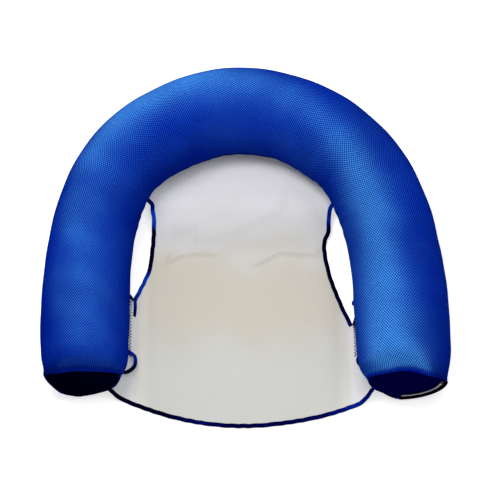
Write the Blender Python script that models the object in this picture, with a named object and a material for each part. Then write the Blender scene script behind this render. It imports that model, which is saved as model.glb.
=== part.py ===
"""U-shaped pool float: a bead-filled fabric tube bent into a U, with a mesh sling seat sewn inside it.

The float stands on the floor at z = 0. Its arc is at the back, +Y, and its legs point to the front, -Y.
A place on the tube is given by its station along the centreline and by its angle round the section:
0 degrees faces into the U, 90 degrees faces up and 180 degrees faces out of the U.
"""
import math

import bmesh
import bpy
from mathutils import Vector

# Tube
TUBE_RADIUS = 0.100
ARC_RADIUS = 0.343
LEG_LENGTH = 0.3345
LEG_SPLAY = math.radians(3.7)
FLAT_DEPTH = 0.004
TAPER_LENGTH = 0.090
END_RADIUS = 0.0842
END_LEAN = math.radians(5.5)

# Cover
COVER_THICKNESS = 0.0015
SEAM_DROP = math.radians(36.0)
FLANGE_DEPTH = 0.008
FLANGE_STUB = 0.0003
END_SEAM_DEPTH = 0.010
SKIRT_DEPTH = 0.008
CLEARANCE = 0.0003

# Seat
SEAT_THICKNESS = 0.0015
SEAT_LIP = 0.003
SIDE_OPENING_LENGTH = 0.105
SIDE_OPENING_TURN = math.radians(28.8)
TAB_SHIFT_RIGHT = 0.025
FOLD_REACH = 0.232
FOLD_BEND = 0.035
DRAPE_POWER = 1.15
HEM_REACH = 0.388
HEM_SAG = 0.064
HEM_SAG_WIDTH = 0.278
EDGE_ROW = 0.009

# Steep strip of the seat along each leg
STRIP_WIDTH_START = 0.021
STRIP_WIDTH_MIDDLE = 0.031
STRIP_WIDTH_END = 0.0245
CORNER_DRIFT_LEFT = 0.000
CORNER_DRIFT_RIGHT = 0.038
HEM_DRIFT = 0.0205
STRIP_POWER_START = 1.0
STRIP_POWER_END = 1.9

# Free side edges of the seat, from the arc to the leg: share of the way along, share of the bow inward
SIDE_BOW_LEFT = 0.025
SIDE_BOW_RIGHT = 0.040
LEFT_EDGE_SHARES = ((0.0, 0.0), (0.07, 0.43), (0.16, 0.61), (0.25, 0.84), (0.40, 0.92),
                    (0.53, 0.99), (0.66, 0.99), (0.78, 0.72), (0.92, 0.27), (1.0, 0.0))
RIGHT_EDGE_SHARES = ((0.0, 0.0), (0.05, 0.40), (0.14, 0.46), (0.24, 0.79), (0.33, 1.0),
                     (0.47, 1.0), (0.60, 0.87), (0.72, 0.66), (0.85, 0.39), (1.0, 0.0))

# Binding tape
TAPE_THICKNESS = 0.00075
TAPE_GAP = 0.0005
BINDING_COVER = 0.0065
BINDING_NOSE = 0.0010
BINDING_NOSE_SHARE = 0.6
BINDING_END_GAP = 0.003
TAIL_LENGTH = 0.042
TAIL_WIDTH = 0.008
TAIL_THICKNESS = 0.0012

# Hanging loops
LOOP_TAPE_WIDTH = 0.0075
LOOP_TAPE_THICKNESS = 0.0015
LOOP_FROM_END = 0.061
LOOP_RISE = 0.003
LOOP_SPREAD_LEFT = 0.038
LOOP_SPREAD_RIGHT = 0.050
LOOP_REACH_LEFT = 0.032
LOOP_REACH_RIGHT = 0.019
LOOP_DROOP = math.radians(42.0)

# Zip in the seam of the right end, as angles of the section and radii from the axis of the end
ZIP_START = math.radians(178.0)
ZIP_SPAN = math.radians(100.0)
ZIP_RADIUS = 0.0770
ZIP_SLOT = 0.0014
ZIP_TAPE_THICKNESS = 0.0008
ZIP_TAPE_WIDTH_COVER = 0.0080
ZIP_TAPE_WIDTH_END = 0.0073
ZIP_TAPE_OVERLAP = 0.0040
ZIP_CUT_MARGIN = 0.0005
ZIP_CUT_STEP = 0.0012
ZIP_HEM_DEPTH = 0.0022
COIL_WIDTH = 0.0022
COIL_HEIGHT = 0.0016
COIL_TOOTH = 0.0005
COIL_TOOTH_COUNT = 24
STOP_LENGTH = 0.0020
STOP_MARGIN = 0.0008
SLIDER_LENGTH = 0.0072
SLIDER_WALL = 0.0008
SLIDER_PLATE = 0.0011
SLIDER_POST = 0.0008
SLIDER_PARK = 0.0045

# Counts
TOP_SEGMENTS = 10
BOTTOM_SIDE_SEGMENTS = 2
ARC_STEPS_OPEN = 3
ARC_STEPS_SEWN = 14
SIDE_ROWS = 8
STRIP_COLUMNS = 3
LOOP_STEPS = 12
ZIP_STEPS = 20
SECTION_ROUND = 2.0 * math.pi

# Stations along a leg, as shares of its straight part behind the tab and of its taper
OPENING_SHARES = (1 / 3, 2 / 3, 1.0)
STRAIGHT_SHARES = (0.0, 0.22, 0.44, 0.72, 1.0)
TAPER_SHARES = (0.36, 0.68, 1.0)
SKIPPED_ON_LEFT = 5
DOME_SHARES = ((0.85, 0.945), (0.55, 0.885), (0.2, 0.80))

AXIS_HEIGHT = TUBE_RADIUS - FLAT_DEPTH
SHEET_HEIGHT = TAPE_THICKNESS + TAPE_GAP + SEAT_THICKNESS / 2
ARC_CENTRE = Vector((0.0, (HEM_REACH - ARC_RADIUS - TUBE_RADIUS) / 2, AXIS_HEIGHT))
UP = Vector((0.0, 0.0, 1.0))

COLOURS = {
    "blue_mesh": ((0.010, 0.045, 0.420, 1.0), 0.62, 0.0),
    "navy_mesh": ((0.004, 0.008, 0.110, 1.0), 0.72, 0.0),
    "seat_mesh": ((0.640, 0.620, 0.540, 1.0), 0.80, 0.0),
    "navy_tape": ((0.006, 0.012, 0.200, 1.0), 0.70, 0.0),
    "zip_tape": ((0.008, 0.008, 0.012, 1.0), 0.80, 0.0),
    "zip_coil": ((0.780, 0.780, 0.780, 1.0), 0.40, 0.0),
    "zip_metal": ((0.300, 0.300, 0.310, 1.0), 0.35, 1.0),
    "foam_beads": ((0.900, 0.900, 0.900, 1.0), 0.90, 0.0),
}


def clear_scene():
    for old in list(bpy.data.objects):
        bpy.data.objects.remove(old, do_unlink=True)


def material(name):
    found = bpy.data.materials.get(name)
    if found:
        return found
    colour, roughness, metallic = COLOURS[name]
    made = bpy.data.materials.new(name)
    made.use_nodes = True
    shader = made.node_tree.nodes["Principled BSDF"]
    shader.inputs["Base Color"].default_value = colour
    shader.inputs["Roughness"].default_value = roughness
    shader.inputs["Metallic"].default_value = metallic
    made.diffuse_color = colour
    return made


def add_object(name, points, faces, finish, smooth_under=math.radians(40.0)):
    """One object from points and faces, with its faces turned outward."""
    mesh = bpy.data.meshes.new(name)
    mesh.from_pydata([tuple(p) for p in points], [], faces)
    work = bmesh.new()
    work.from_mesh(mesh)
    bmesh.ops.recalc_face_normals(work, faces=work.faces)
    work.to_mesh(mesh)
    work.free()
    mesh.shade_smooth()
    mesh.set_sharp_from_angle(angle=smooth_under)
    mesh.materials.append(material(finish))
    made = bpy.data.objects.new(name, mesh)
    bpy.context.collection.objects.link(made)
    return made


def split_bulging(points, quad, core):
    """Cuts a quad along the diagonal that lies farther from the core of the tube."""
    a, b, c, d = quad
    one = ((points[a] + points[c]) / 2 - core).length
    other = ((points[b] + points[d]) / 2 - core).length
    if one > other:
        return [(a, b, c), (a, c, d)]
    return [(a, b, d), (b, c, d)]


def loft(rings, centres=None):
    """Points and faces of a closed solid through rings of equal length, capped at both ends.

    With the centres of its sections, layers that lie on each other are cut along the same diagonals.
    """
    count = len(rings[0])
    points = [p for ring in rings for p in ring]
    faces = []
    for row in range(len(rings) - 1):
        for k in range(count):
            here = row * count + k
            beside = row * count + (k + 1) % count
            quad = (here, beside, beside + count, here + count)
            if centres:
                faces += split_bulging(points, quad, (centres[row] + centres[row + 1]) / 2)
            else:
                faces.append(quad)
    faces.append(tuple(range(count))[::-1])
    last = (len(rings) - 1) * count
    faces.append(tuple(last + k for k in range(count)))
    return points, faces


class Station:
    """One cross-section of the tube."""

    def __init__(self, centre, inward, out, radius, lean):
        self.centre = centre
        self.inward = inward
        self.out = out
        self.radius = radius
        self.up = UP * math.cos(lean) - out * math.sin(lean)
        self.axis = out * math.cos(lean) + UP * math.sin(lean)

    def point(self, angle, inset=0.0):
        """A point of the section, this far under the skin, kept as far above the floor."""
        reach = self.radius - inset
        p = self.polar(angle, reach, 0.0)
        p.z = max(p.z, inset)
        return p

    def polar(self, angle, reach, ahead):
        across = self.inward * (reach * math.cos(angle))
        return self.centre + across + self.up * (reach * math.sin(angle)) + self.axis * ahead

    def beside_seam(self, seam, depth, offset):
        """A point this deep under the skin and this far along the skin from a seam."""
        return self.point(seam + offset / (self.radius - depth), depth)

    def round_the_seam(self, seam):
        return self.inward * -math.sin(seam) + self.up * math.cos(seam)


def leg_places():
    """Distances of a leg's stations from the end of the arc."""
    late_tab = SIDE_OPENING_LENGTH + TAB_SHIFT_RIGHT
    taper_start = LEG_LENGTH - TAPER_LENGTH
    last_row = LEG_LENGTH - END_SEAM_DEPTH
    places = [share * SIDE_OPENING_LENGTH for share in OPENING_SHARES]
    places += [late_tab + share * (taper_start - late_tab) for share in STRAIGHT_SHARES]
    places += [taper_start + share * (last_row - EDGE_ROW - taper_start) for share in TAPER_SHARES]
    return places + [last_row, LEG_LENGTH]


def leg_station(side, place):
    """The station at this distance along a leg; side is -1 for the left leg and 1 for the right."""
    out = Vector((side * math.sin(LEG_SPLAY), -math.cos(LEG_SPLAY), 0.0))
    inward = Vector((-side * math.cos(LEG_SPLAY), -math.sin(LEG_SPLAY), 0.0))
    centre = ARC_CENTRE - inward * ARC_RADIUS + out * place
    along_taper = max(0.0, 1.0 - (LEG_LENGTH - place) / TAPER_LENGTH)
    radius = TUBE_RADIUS - (TUBE_RADIUS - END_RADIUS) * along_taper**2
    return Station(centre, inward, out, radius, END_LEAN * along_taper)


def arc_station(angle):
    inward = Vector((-math.cos(angle), -math.sin(angle), 0.0))
    out = Vector((math.sin(angle), -math.cos(angle), 0.0))
    return Station(ARC_CENTRE - inward * ARC_RADIUS, inward, out, TUBE_RADIUS, 0.0)


def arc_angles():
    """Directions of the arc's stations from its centre, from the left leg to the right one."""
    left_end, right_end = math.pi - LEG_SPLAY, LEG_SPLAY
    left_sewn, right_sewn = left_end - SIDE_OPENING_TURN, right_end + SIDE_OPENING_TURN
    angles = even_angles(left_end, left_sewn, ARC_STEPS_OPEN)[:-1]
    angles += even_angles(left_sewn, right_sewn, ARC_STEPS_SEWN)[:-1]
    return angles + even_angles(right_sewn, right_end, ARC_STEPS_OPEN)


def even_angles(start, stop, segments):
    return [start + (stop - start) * k / segments for k in range(segments + 1)]


LEG_PLACES = leg_places()
LEFT_LEG = [leg_station(-1, place) for place in LEG_PLACES]
RIGHT_LEG = [leg_station(1, place) for place in LEG_PLACES]
ARC = [arc_station(angle) for angle in arc_angles()]
TUBE = LEFT_LEG[::-1] + ARC + RIGHT_LEG
CENTRES = [station.centre for station in TUBE]

INNER_SEAM = -SEAM_DROP
OUTER_SEAM = math.pi + SEAM_DROP
TOP_SEAMS = (INNER_SEAM, OUTER_SEAM)
BOTTOM_SEAMS = (OUTER_SEAM, INNER_SEAM + SECTION_ROUND)
SEAM_HALF_OPEN = SEAT_THICKNESS / 2 + CLEARANCE
SEAM_HALF_SHUT = CLEARANCE / 2

FIRST_TAB_LEFT = len(OPENING_SHARES) - 1
FIRST_TAB_RIGHT = len(OPENING_SHARES)


def seat_in_seam(index):
    """Whether the seat's edge lies in the inner seam at this station of the tube."""
    from_left_end = len(LEFT_LEG) - 1 - index
    from_right_end = index - len(LEFT_LEG) - len(ARC)
    step = index - len(LEFT_LEG)
    if from_left_end >= 0:
        return from_left_end >= FIRST_TAB_LEFT
    if from_right_end >= 0:
        return from_right_end >= FIRST_TAB_RIGHT
    return ARC_STEPS_OPEN <= step <= ARC_STEPS_OPEN + ARC_STEPS_SEWN


def flange_depth(index):
    """Seam allowances are left off where the end panels' skirts lie."""
    from_end = min(index, len(TUBE) - 1 - index)
    if from_end <= 1:
        return COVER_THICKNESS + FLANGE_STUB
    return FLANGE_DEPTH


def seam_half_gap(index):
    return SEAM_HALF_OPEN if seat_in_seam(index) else SEAM_HALF_SHUT


def bottom_angles(start, stop):
    """Angles under the tube, with the edges of its flat strip among them."""
    flat_half = math.acos(1.0 - FLAT_DEPTH / TUBE_RADIUS)
    down = 1.5 * math.pi
    left = even_angles(start, down - flat_half, BOTTOM_SIDE_SEGMENTS)
    right = even_angles(down + flat_half, stop, BOTTOM_SIDE_SEGMENTS)
    return left + [down] + right


def top_angles(start, stop):
    return even_angles(start, stop, TOP_SEGMENTS)


def wall_angles(station, seams, half_gaps, angles_of):
    """Angles of a cover panel's inner face, between its two seam allowances."""
    under = station.radius - COVER_THICKNESS
    start = seams[0] + (half_gaps[0] + COVER_THICKNESS) / under
    stop = seams[1] - (half_gaps[1] + COVER_THICKNESS) / under
    return angles_of(start, stop)


def panel_ring(station, depth, seams, half_gaps, angles_of):
    """Section of a cover panel from one seam to the other, with its seam allowances turned in."""
    (start, stop), (gap_start, gap_stop) = seams, half_gaps
    outer = angles_of(start + gap_start / station.radius, stop - gap_stop / station.radius)
    inner = wall_angles(station, seams, half_gaps, angles_of)
    ring = [station.point(angle) for angle in outer]
    ring.append(station.beside_seam(stop, depth, -gap_stop))
    ring.append(station.beside_seam(stop, depth, -gap_stop - COVER_THICKNESS))
    ring += [station.point(angle, COVER_THICKNESS) for angle in reversed(inner)]
    ring.append(station.beside_seam(start, depth, gap_start + COVER_THICKNESS))
    ring.append(station.beside_seam(start, depth, gap_start))
    return ring


def build_cover_top():
    rings = []
    for index, station in enumerate(TUBE):
        gaps = (seam_half_gap(index), SEAM_HALF_SHUT)
        rings.append(panel_ring(station, flange_depth(index), TOP_SEAMS, gaps, top_angles))
    return add_object("cover_top", *loft(rings, CENTRES), "blue_mesh")


def build_cover_bottom():
    rings = []
    for index, station in enumerate(TUBE):
        gaps = (SEAM_HALF_SHUT, seam_half_gap(index))
        rings.append(panel_ring(station, flange_depth(index), BOTTOM_SEAMS, gaps, bottom_angles))
    return add_object("cover_bottom", *loft(rings, CENTRES), "blue_mesh")


def notch(station, seam, depth, half_gap):
    """The groove that a seam's allowances press into the filling."""
    half = half_gap + COVER_THICKNESS + CLEARANCE
    skin = COVER_THICKNESS + CLEARANCE
    floor = depth + CLEARANCE
    return [station.beside_seam(seam, skin, -half), station.beside_seam(seam, floor, -half),
            station.beside_seam(seam, floor, half), station.beside_seam(seam, skin, half)]


def fill_ring(station, depth, half_gap):
    skin = COVER_THICKNESS + CLEARANCE
    over = wall_angles(station, TOP_SEAMS, (half_gap, SEAM_HALF_SHUT), top_angles)
    under = wall_angles(station, BOTTOM_SEAMS, (SEAM_HALF_SHUT, half_gap), bottom_angles)
    ring = notch(station, INNER_SEAM, depth, half_gap)
    ring += [station.point(angle, skin) for angle in over[1:-1]]
    ring += notch(station, OUTER_SEAM, depth, SEAM_HALF_SHUT)
    return ring + [station.point(angle, skin) for angle in under[1:-1]]


def dome(end):
    """Sections of the filling's rounded end, inside the end panel."""
    slices = []
    for back_share, radius_share in DOME_SHARES:
        centre = end.centre - end.axis * (back_share * END_SEAM_DEPTH)
        radius = end.radius * radius_share + COVER_THICKNESS + FLANGE_STUB
        slices.append(Station(centre, end.inward, end.out, radius, END_LEAN))
    return slices


def build_bead_fill():
    left_dome = dome(TUBE[0])[::-1]
    stations = left_dome + TUBE[1:-1] + dome(TUBE[-1])
    rings = []
    for k, station in enumerate(stations):
        index = min(max(k - len(left_dome) + 1, 0), len(TUBE) - 1)
        rings.append(fill_ring(station, flange_depth(index), seam_half_gap(index)))
    return add_object("bead_fill", *loft(rings, [station.centre for station in stations]), "foam_beads")


def end_rim(end):
    """Angles and radii round an end panel, a clearance inside the cover's own section."""
    over = wall_angles(end, TOP_SEAMS, (SEAM_HALF_OPEN, SEAM_HALF_SHUT), top_angles)
    under = wall_angles(end, BOTTOM_SEAMS, (SEAM_HALF_SHUT, SEAM_HALF_OPEN), bottom_angles)
    radius = end.radius - COVER_THICKNESS - FLANGE_STUB - CLEARANCE
    return [(angle, radius) for angle in over + under]


def add_cut(rim, start, stop, cut_radius):
    """Steps a rim back between two angles; the corners of the step lie on the rim's straight sides."""
    closed = rim + [(rim[0][0] + SECTION_ROUND, rim[0][1])]
    step = ZIP_CUT_STEP / ZIP_RADIUS
    edges = []
    for angle in (start, stop):
        for (before, radius), (after, same) in zip(closed, closed[1:]):
            if before <= angle <= after:
                half, middle = (after - before) / 2, (after + before) / 2
                edges.append((angle, radius * math.cos(half) / math.cos(angle - middle)))
    kept = [spot for spot in rim if not start <= spot[0] <= stop]
    inside = [spot[0] for spot in rim if start + step < spot[0] < stop - step]
    cut = [(angle, cut_radius) for angle in [start + step] + inside + [stop - step]]
    return sorted(kept + edges + cut)


def build_end_panel(name, end, with_zip):
    """A flat round panel with its edge turned in, cut back behind the zip."""
    cut_radius = ZIP_RADIUS - ZIP_SLOT / 2 - ZIP_TAPE_WIDTH_END + ZIP_TAPE_OVERLAP
    rim = end_rim(end)
    if with_zip:
        margin = ZIP_CUT_MARGIN / ZIP_RADIUS
        rim = add_cut(rim, ZIP_START + margin, ZIP_START + ZIP_SPAN - margin, cut_radius)
    count = len(rim)
    rings = [[], [], [], []]
    for angle, radius in rim:
        depth = ZIP_HEM_DEPTH if radius <= cut_radius else SKIRT_DEPTH
        rings[0].append(end.polar(angle, radius, 0.0))
        rings[1].append(end.polar(angle, radius, -depth))
        rings[2].append(end.polar(angle, radius - COVER_THICKNESS, -depth))
        rings[3].append(end.polar(angle, radius - COVER_THICKNESS, -COVER_THICKNESS))
    points, faces = loft(rings)
    faces = faces[:-2]
    front, back = len(points), len(points) + 1
    points += [end.polar(0.0, 0.0, 0.0), end.polar(0.0, 0.0, -COVER_THICKNESS)]
    last = 3 * count
    for k in range(count):
        beside = (k + 1) % count
        faces.append((front, beside, k))
        faces.append((back, last + k, last + beside))
    return add_object(name, points, faces, "navy_mesh")


def smooth_between(shares, t):
    """Value at t of the smooth curve through a table of share pairs."""
    for k in range(len(shares) - 1):
        if t <= shares[k + 1][0]:
            break
    before = shares[max(k - 1, 0)]
    here, there = shares[k], shares[k + 1]
    after = shares[min(k + 2, len(shares) - 1)]
    width = there[0] - here[0]
    slope_here = (there[1] - before[1]) / (there[0] - before[0])
    slope_there = (after[1] - here[1]) / (after[0] - here[0])
    s = (t - here[0]) / width
    rise = (2 * s**3 - 3 * s**2 + 1) * here[1] + (3 * s**2 - 2 * s**3) * there[1]
    return rise + width * ((s**3 - 2 * s**2 + s) * slope_here + (s**3 - s**2) * slope_there)


def flat(p):
    return Vector((p.x, p.y, 0.0))


class Seat:
    """The mesh panel of the sling seat, as a grid of points on the middle of its thickness.

    Rows run from the back, in the arc's seam, to the hem. Columns run from left to right.
    """

    def __init__(self):
        self.points = []
        self.normals = {}
        self.quads = []
        self.lip_radius = flat(self.lip(ARC[0]) - ARC_CENTRE).length
        self.seam_height = self.lip(ARC[0]).z
        self.build_main()
        self.build_back_tongue()
        self.left_strip = self.build_strip(LEFT_LEG, self.left_rows, 0, -1)
        self.right_strip = self.build_strip(RIGHT_LEG, self.right_rows, -1, 1)

    def lip(self, station):
        return station.point(INNER_SEAM, -SEAT_LIP)

    def tongue(self, station, depth):
        return station.point(INNER_SEAM, depth - 2 * CLEARANCE)

    def add(self, p):
        self.points.append(p)
        return len(self.points) - 1

    def height(self, p):
        """The seat slopes from the arc's seam to a curved fold, and lies on the floor in front of it."""
        x = p.x
        y = p.y - ARC_CENTRE.y
        seam = math.sqrt(max(self.lip_radius**2 - x**2, 0.0))
        fold = self.lip_radius - FOLD_REACH - FOLD_BEND * (x / self.lip_radius)**4
        left_over = min(max((y - fold) / max(seam - fold, CLEARANCE), 0.0), 1.0)
        return SHEET_HEIGHT + (self.seam_height - SHEET_HEIGHT) * left_over**DRAPE_POWER

    def floor_line(self, station, share, corner_drift):
        """Where the strip beside a leg meets the floor, this share of the way along the strip."""
        if share < 0.5:
            near = 1.0 - 2 * share
            width = STRIP_WIDTH_MIDDLE + (STRIP_WIDTH_START - STRIP_WIDTH_MIDDLE) * near**2
            drift = corner_drift * near
        else:
            near = 2 * share - 1.0
            width = STRIP_WIDTH_MIDDLE + (STRIP_WIDTH_END - STRIP_WIDTH_MIDDLE) * near**2
            drift = HEM_DRIFT * near**2
        p = self.lip(station) + station.inward * width + station.out * drift
        return Vector((p.x, p.y, SHEET_HEIGHT))

    def strip_rows(self, leg, indices, corner_drift):
        """Pairs of leg station and floor point for each row of a strip."""
        first, last = LEG_PLACES[indices[0]], LEG_PLACES[indices[-1]]
        rows = []
        for index in indices:
            share = (LEG_PLACES[index] - first) / (last - first)
            rows.append((index, self.floor_line(leg[index], share, corner_drift)))
        return rows

    def side_edge(self, start, corner, bow, shares, side):
        """Points of a free side edge, from the arc to the corner of the tab."""
        inward = Vector((-side, 0.0, 0.0))
        edge = []
        for row in range(SIDE_ROWS):
            t = row / SIDE_ROWS
            p = flat(start).lerp(flat(corner), t) + inward * (bow * smooth_between(shares, t))
            edge.append(p)
        return edge

    def build_main(self):
        last = len(LEG_PLACES) - 2
        left_indices = [k for k in range(FIRST_TAB_LEFT, last + 1) if k != SKIPPED_ON_LEFT]
        right_indices = list(range(FIRST_TAB_RIGHT, last + 1))
        self.left_rows = self.strip_rows(LEFT_LEG, left_indices, CORNER_DRIFT_LEFT)
        self.right_rows = self.strip_rows(RIGHT_LEG, right_indices, CORNER_DRIFT_RIGHT)
        seam_stations = ARC[ARC_STEPS_OPEN:ARC_STEPS_OPEN + ARC_STEPS_SEWN + 1]
        self.seam_stations = seam_stations
        back = [flat(self.lip(station)) for station in seam_stations]
        edge_share = EDGE_ROW / (back[1] - back[0]).length
        spans = len(back) - 1
        places = [0.0, edge_share] + list(range(1, spans)) + [spans - edge_share, float(spans)]
        self.places = places
        left = self.side_edge(back[0], self.left_rows[0][1], SIDE_BOW_LEFT, LEFT_EDGE_SHARES, -1)
        right = self.side_edge(back[-1], self.right_rows[0][1], SIDE_BOW_RIGHT, RIGHT_EDGE_SHARES, 1)
        left += [flat(p) for index, p in self.left_rows]
        right += [flat(p) for index, p in self.right_rows]
        downs = self.shares_along(left, right)
        self.grid = []
        for row, down in enumerate(downs):
            line = []
            for place in places:
                across = place / spans
                p = self.blend(back, left, right, row, down, across, place)
                p.z = self.height(p) if row else self.seam_height
                line.append(self.add(p))
            self.grid.append(line)
        self.add_quads(self.grid)

    def shares_along(self, left, right):
        """How far down the panel each row is, from 0 at the arc to 1 at the hem."""
        total = [0.0]
        for row in range(1, len(left)):
            step = (left[row] - left[row - 1]).length + (right[row] - right[row - 1]).length
            total.append(total[-1] + step)
        return [t / total[-1] for t in total]

    def hem(self, left_end, right_end, across):
        """The front edge: a shallow bow between the two ends."""
        p = left_end.lerp(right_end, across)
        bow = ARC_CENTRE.y - HEM_REACH + HEM_SAG * (p.x / HEM_SAG_WIDTH)**2
        ends = ARC_CENTRE.y - HEM_REACH + HEM_SAG * (left_end.x / HEM_SAG_WIDTH)**2
        p.y += bow - ends
        return p

    def seam_line(self, back, place):
        low = min(int(place), len(back) - 2)
        return back[low].lerp(back[low + 1], place - low)

    def blend(self, back, left, right, row, down, across, place):
        """A point of the panel that follows all four of its edges."""
        top = self.seam_line(back, place)
        low = self.hem(left[-1], right[-1], across)
        sides = left[row].lerp(right[row], across)
        corners_top = back[0].lerp(back[-1], across)
        corners_low = left[-1].lerp(right[-1], across)
        return sides + (top - corners_top) * (1.0 - down) + (low - corners_low) * down

    def add_quads(self, lines):
        for upper, lower in zip(lines, lines[1:]):
            for k in range(len(upper) - 1):
                self.quads.append((upper[k], lower[k], lower[k + 1], upper[k + 1]))

    def build_back_tongue(self):
        """The edge of the panel that is sewn into the arc's seam."""
        inner = [self.tongue(station, FLANGE_DEPTH) for station in self.seam_stations]
        facing = [station.round_the_seam(INNER_SEAM) for station in self.seam_stations]
        line = []
        for column, place in enumerate(self.places):
            made = self.add(self.seam_line(inner, place))
            self.normals[made] = self.seam_line(facing, place).normalized()
            self.normals[self.grid[0][column]] = self.normals[made]
            line.append(made)
        self.add_quads([line, self.grid[0]])

    def build_strip(self, leg, rows, column, side):
        """The steep strip from the floor up to a leg's seam, with its own sewn edge."""
        first_row = len(self.grid) - len(rows)
        lines = []
        for k, (index, foot) in enumerate(rows):
            station = leg[index]
            share = k / (len(rows) - 1)
            power = STRIP_POWER_START + (STRIP_POWER_END - STRIP_POWER_START) * share
            top = self.lip(station)
            line = [self.grid[first_row + k][column]]
            for step in range(1, STRIP_COLUMNS + 1):
                along = step / STRIP_COLUMNS
                p = foot.lerp(top, along)
                p.z = foot.z + (top.z - foot.z) * along**power
                line.append(self.add(p))
            ends_at = len(leg) - 1 - index
            depth = COVER_THICKNESS + FLANGE_STUB if ends_at <= 1 else FLANGE_DEPTH
            line.append(self.add(self.tongue(station, depth)))
            facing = station.round_the_seam(INNER_SEAM)
            self.normals[line[-1]] = facing
            self.normals[line[-2]] = facing
            lines.append(line)
        if side < 0:
            lines = [line[::-1] for line in lines]
        self.add_quads(lines)
        return lines

    def split_quads(self):
        """Triangles cut along each quad's shorter diagonal, so that both faces of the panel stay parallel."""
        faces = []
        for a, b, c, d in self.quads:
            if (self.points[a] - self.points[c]).length <= (self.points[b] - self.points[d]).length:
                faces += [(a, b, c), (a, c, d)]
            else:
                faces += [(a, b, d), (b, c, d)]
        return faces

    def solid(self):
        """The panel with its thickness: both faces and a wall along every free edge."""
        sums = [Vector((0.0, 0.0, 0.0)) for p in self.points]
        edges = {}
        for quad in self.quads:
            a, b, c, d = (self.points[k] for k in quad)
            facing = (c - a).cross(d - b)
            for k, vertex in enumerate(quad):
                sums[vertex] += facing
                edge = (vertex, quad[(k + 1) % 4])
                edges[edge] = edges.get(edge, 0) + 1
        normals = [self.normals.get(k, total.normalized()) for k, total in enumerate(sums)]
        half = SEAT_THICKNESS / 2
        count = len(self.points)
        points = [p + normals[k] * half for k, p in enumerate(self.points)]
        points += [p - normals[k] * half for k, p in enumerate(self.points)]
        faces = self.split_quads()
        faces += [tuple(k + count for k in reversed(face)) for face in faces]
        for a, b in edges:
            if (b, a) not in edges:
                faces.append((b, a, a + count, b + count))
        return points, faces


def edge_frames(seat, edge, inner):
    """For each point of a seat edge: the point, its way out of the panel and its way off the panel."""
    frames = []
    for k, vertex in enumerate(edge):
        here = seat.points[vertex]
        before = seat.points[edge[max(k - 1, 0)]]
        after = seat.points[edge[min(k + 1, len(edge) - 1)]]
        outward = (here - seat.points[inner[k]]).normalized()
        off = (after - before).cross(outward).normalized()
        frames.append([here, outward, off if off.z > 0 else -off])
        seat.normals[vertex] = frames[-1][2]
        seat.normals[inner[k]] = frames[-1][2]
    return frames


def binding_ring(frame):
    """Section of the tape folded over the edge of the seat."""
    here, outward, off = frame
    inside = SEAT_THICKNESS / 2 + TAPE_GAP
    outside = inside + TAPE_THICKNESS
    fold = TAPE_GAP
    nose = fold + BINDING_NOSE
    blunt = inside * BINDING_NOSE_SHARE
    profile = [(-BINDING_COVER, outside), (fold, outside), (nose, blunt), (nose, -blunt),
               (fold, -outside), (-BINDING_COVER, -outside), (-BINDING_COVER, -inside),
               (fold, -inside), (fold, inside), (-BINDING_COVER, inside)]
    return [here + outward * across + off * rise for across, rise in profile]


def cut_back(frames, at_start, at_end):
    """Shortens a run of edge frames by a distance at either end."""
    frames = [list(frame) for frame in frames]
    if at_start:
        step = (frames[1][0] - frames[0][0]).length
        frames[0] = [a.lerp(b, at_start / step) for a, b in zip(frames[0], frames[1])]
    if at_end:
        step = (frames[-2][0] - frames[-1][0]).length
        frames[-1] = [a.lerp(b, at_end / step) for a, b in zip(frames[-1], frames[-2])]
    return frames


def build_bindings(seat):
    """The tapes over the hem, the two free side edges and the upper edge of the left tab."""
    corner_row = len(seat.grid) - len(seat.left_rows)
    hem = seat.left_strip[-1][1:-1] + seat.grid[-1] + seat.right_strip[-1][1:-1]
    before_hem = seat.left_strip[-2][1:-1] + seat.grid[-2] + seat.right_strip[-2][1:-1]
    left = [seat.grid[row][0] for row in range(corner_row + 1)]
    left_inner = [seat.grid[row][1] for row in range(corner_row + 1)]
    right = [seat.grid[row][-1] for row in range(corner_row + 1)]
    right_inner = [seat.grid[row][-2] for row in range(corner_row + 1)]
    tab = seat.left_strip[0][1:]
    tab_inner = seat.left_strip[1][1:]
    runs = (("tab_binding_left", tab, tab_inner, 0.0, BINDING_END_GAP),
            ("side_binding_left", left, left_inner, 0.0, BINDING_END_GAP),
            ("side_binding_right", right, right_inner, 0.0, BINDING_END_GAP),
            ("front_binding", hem, before_hem, 0.0, 0.0))
    made = []
    for name, edge, inner, at_start, at_end in runs:
        frames = edge_frames(seat, edge, inner)
        made.append((name, cut_back(frames, at_start, at_end)))
    for name, frames in made:
        add_object(name, *loft([binding_ring(frame) for frame in frames]), "navy_tape")


def build_binding_tail(seat):
    """The loose end of tape that lies on the seat in front of the left tab's corner."""
    foot_rows = [p for index, p in seat.left_rows]
    start = foot_rows[0]
    along = (foot_rows[2] - foot_rows[0]).normalized()
    across = Vector((-along.y, along.x, 0.0))
    level = UP * (SEAT_THICKNESS / 2 + CLEARANCE)
    rings = []
    for share in (0.0, 0.5, 1.0):
        here = start + level + along * (BINDING_END_GAP + TAIL_LENGTH * share)
        near = here + across * BINDING_NOSE
        far = near + across * TAIL_WIDTH
        rise = UP * TAIL_THICKNESS
        rings.append([near, far, far + rise, near + rise])
    add_object("binding_tail_left", *loft(rings), "navy_tape")


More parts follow.
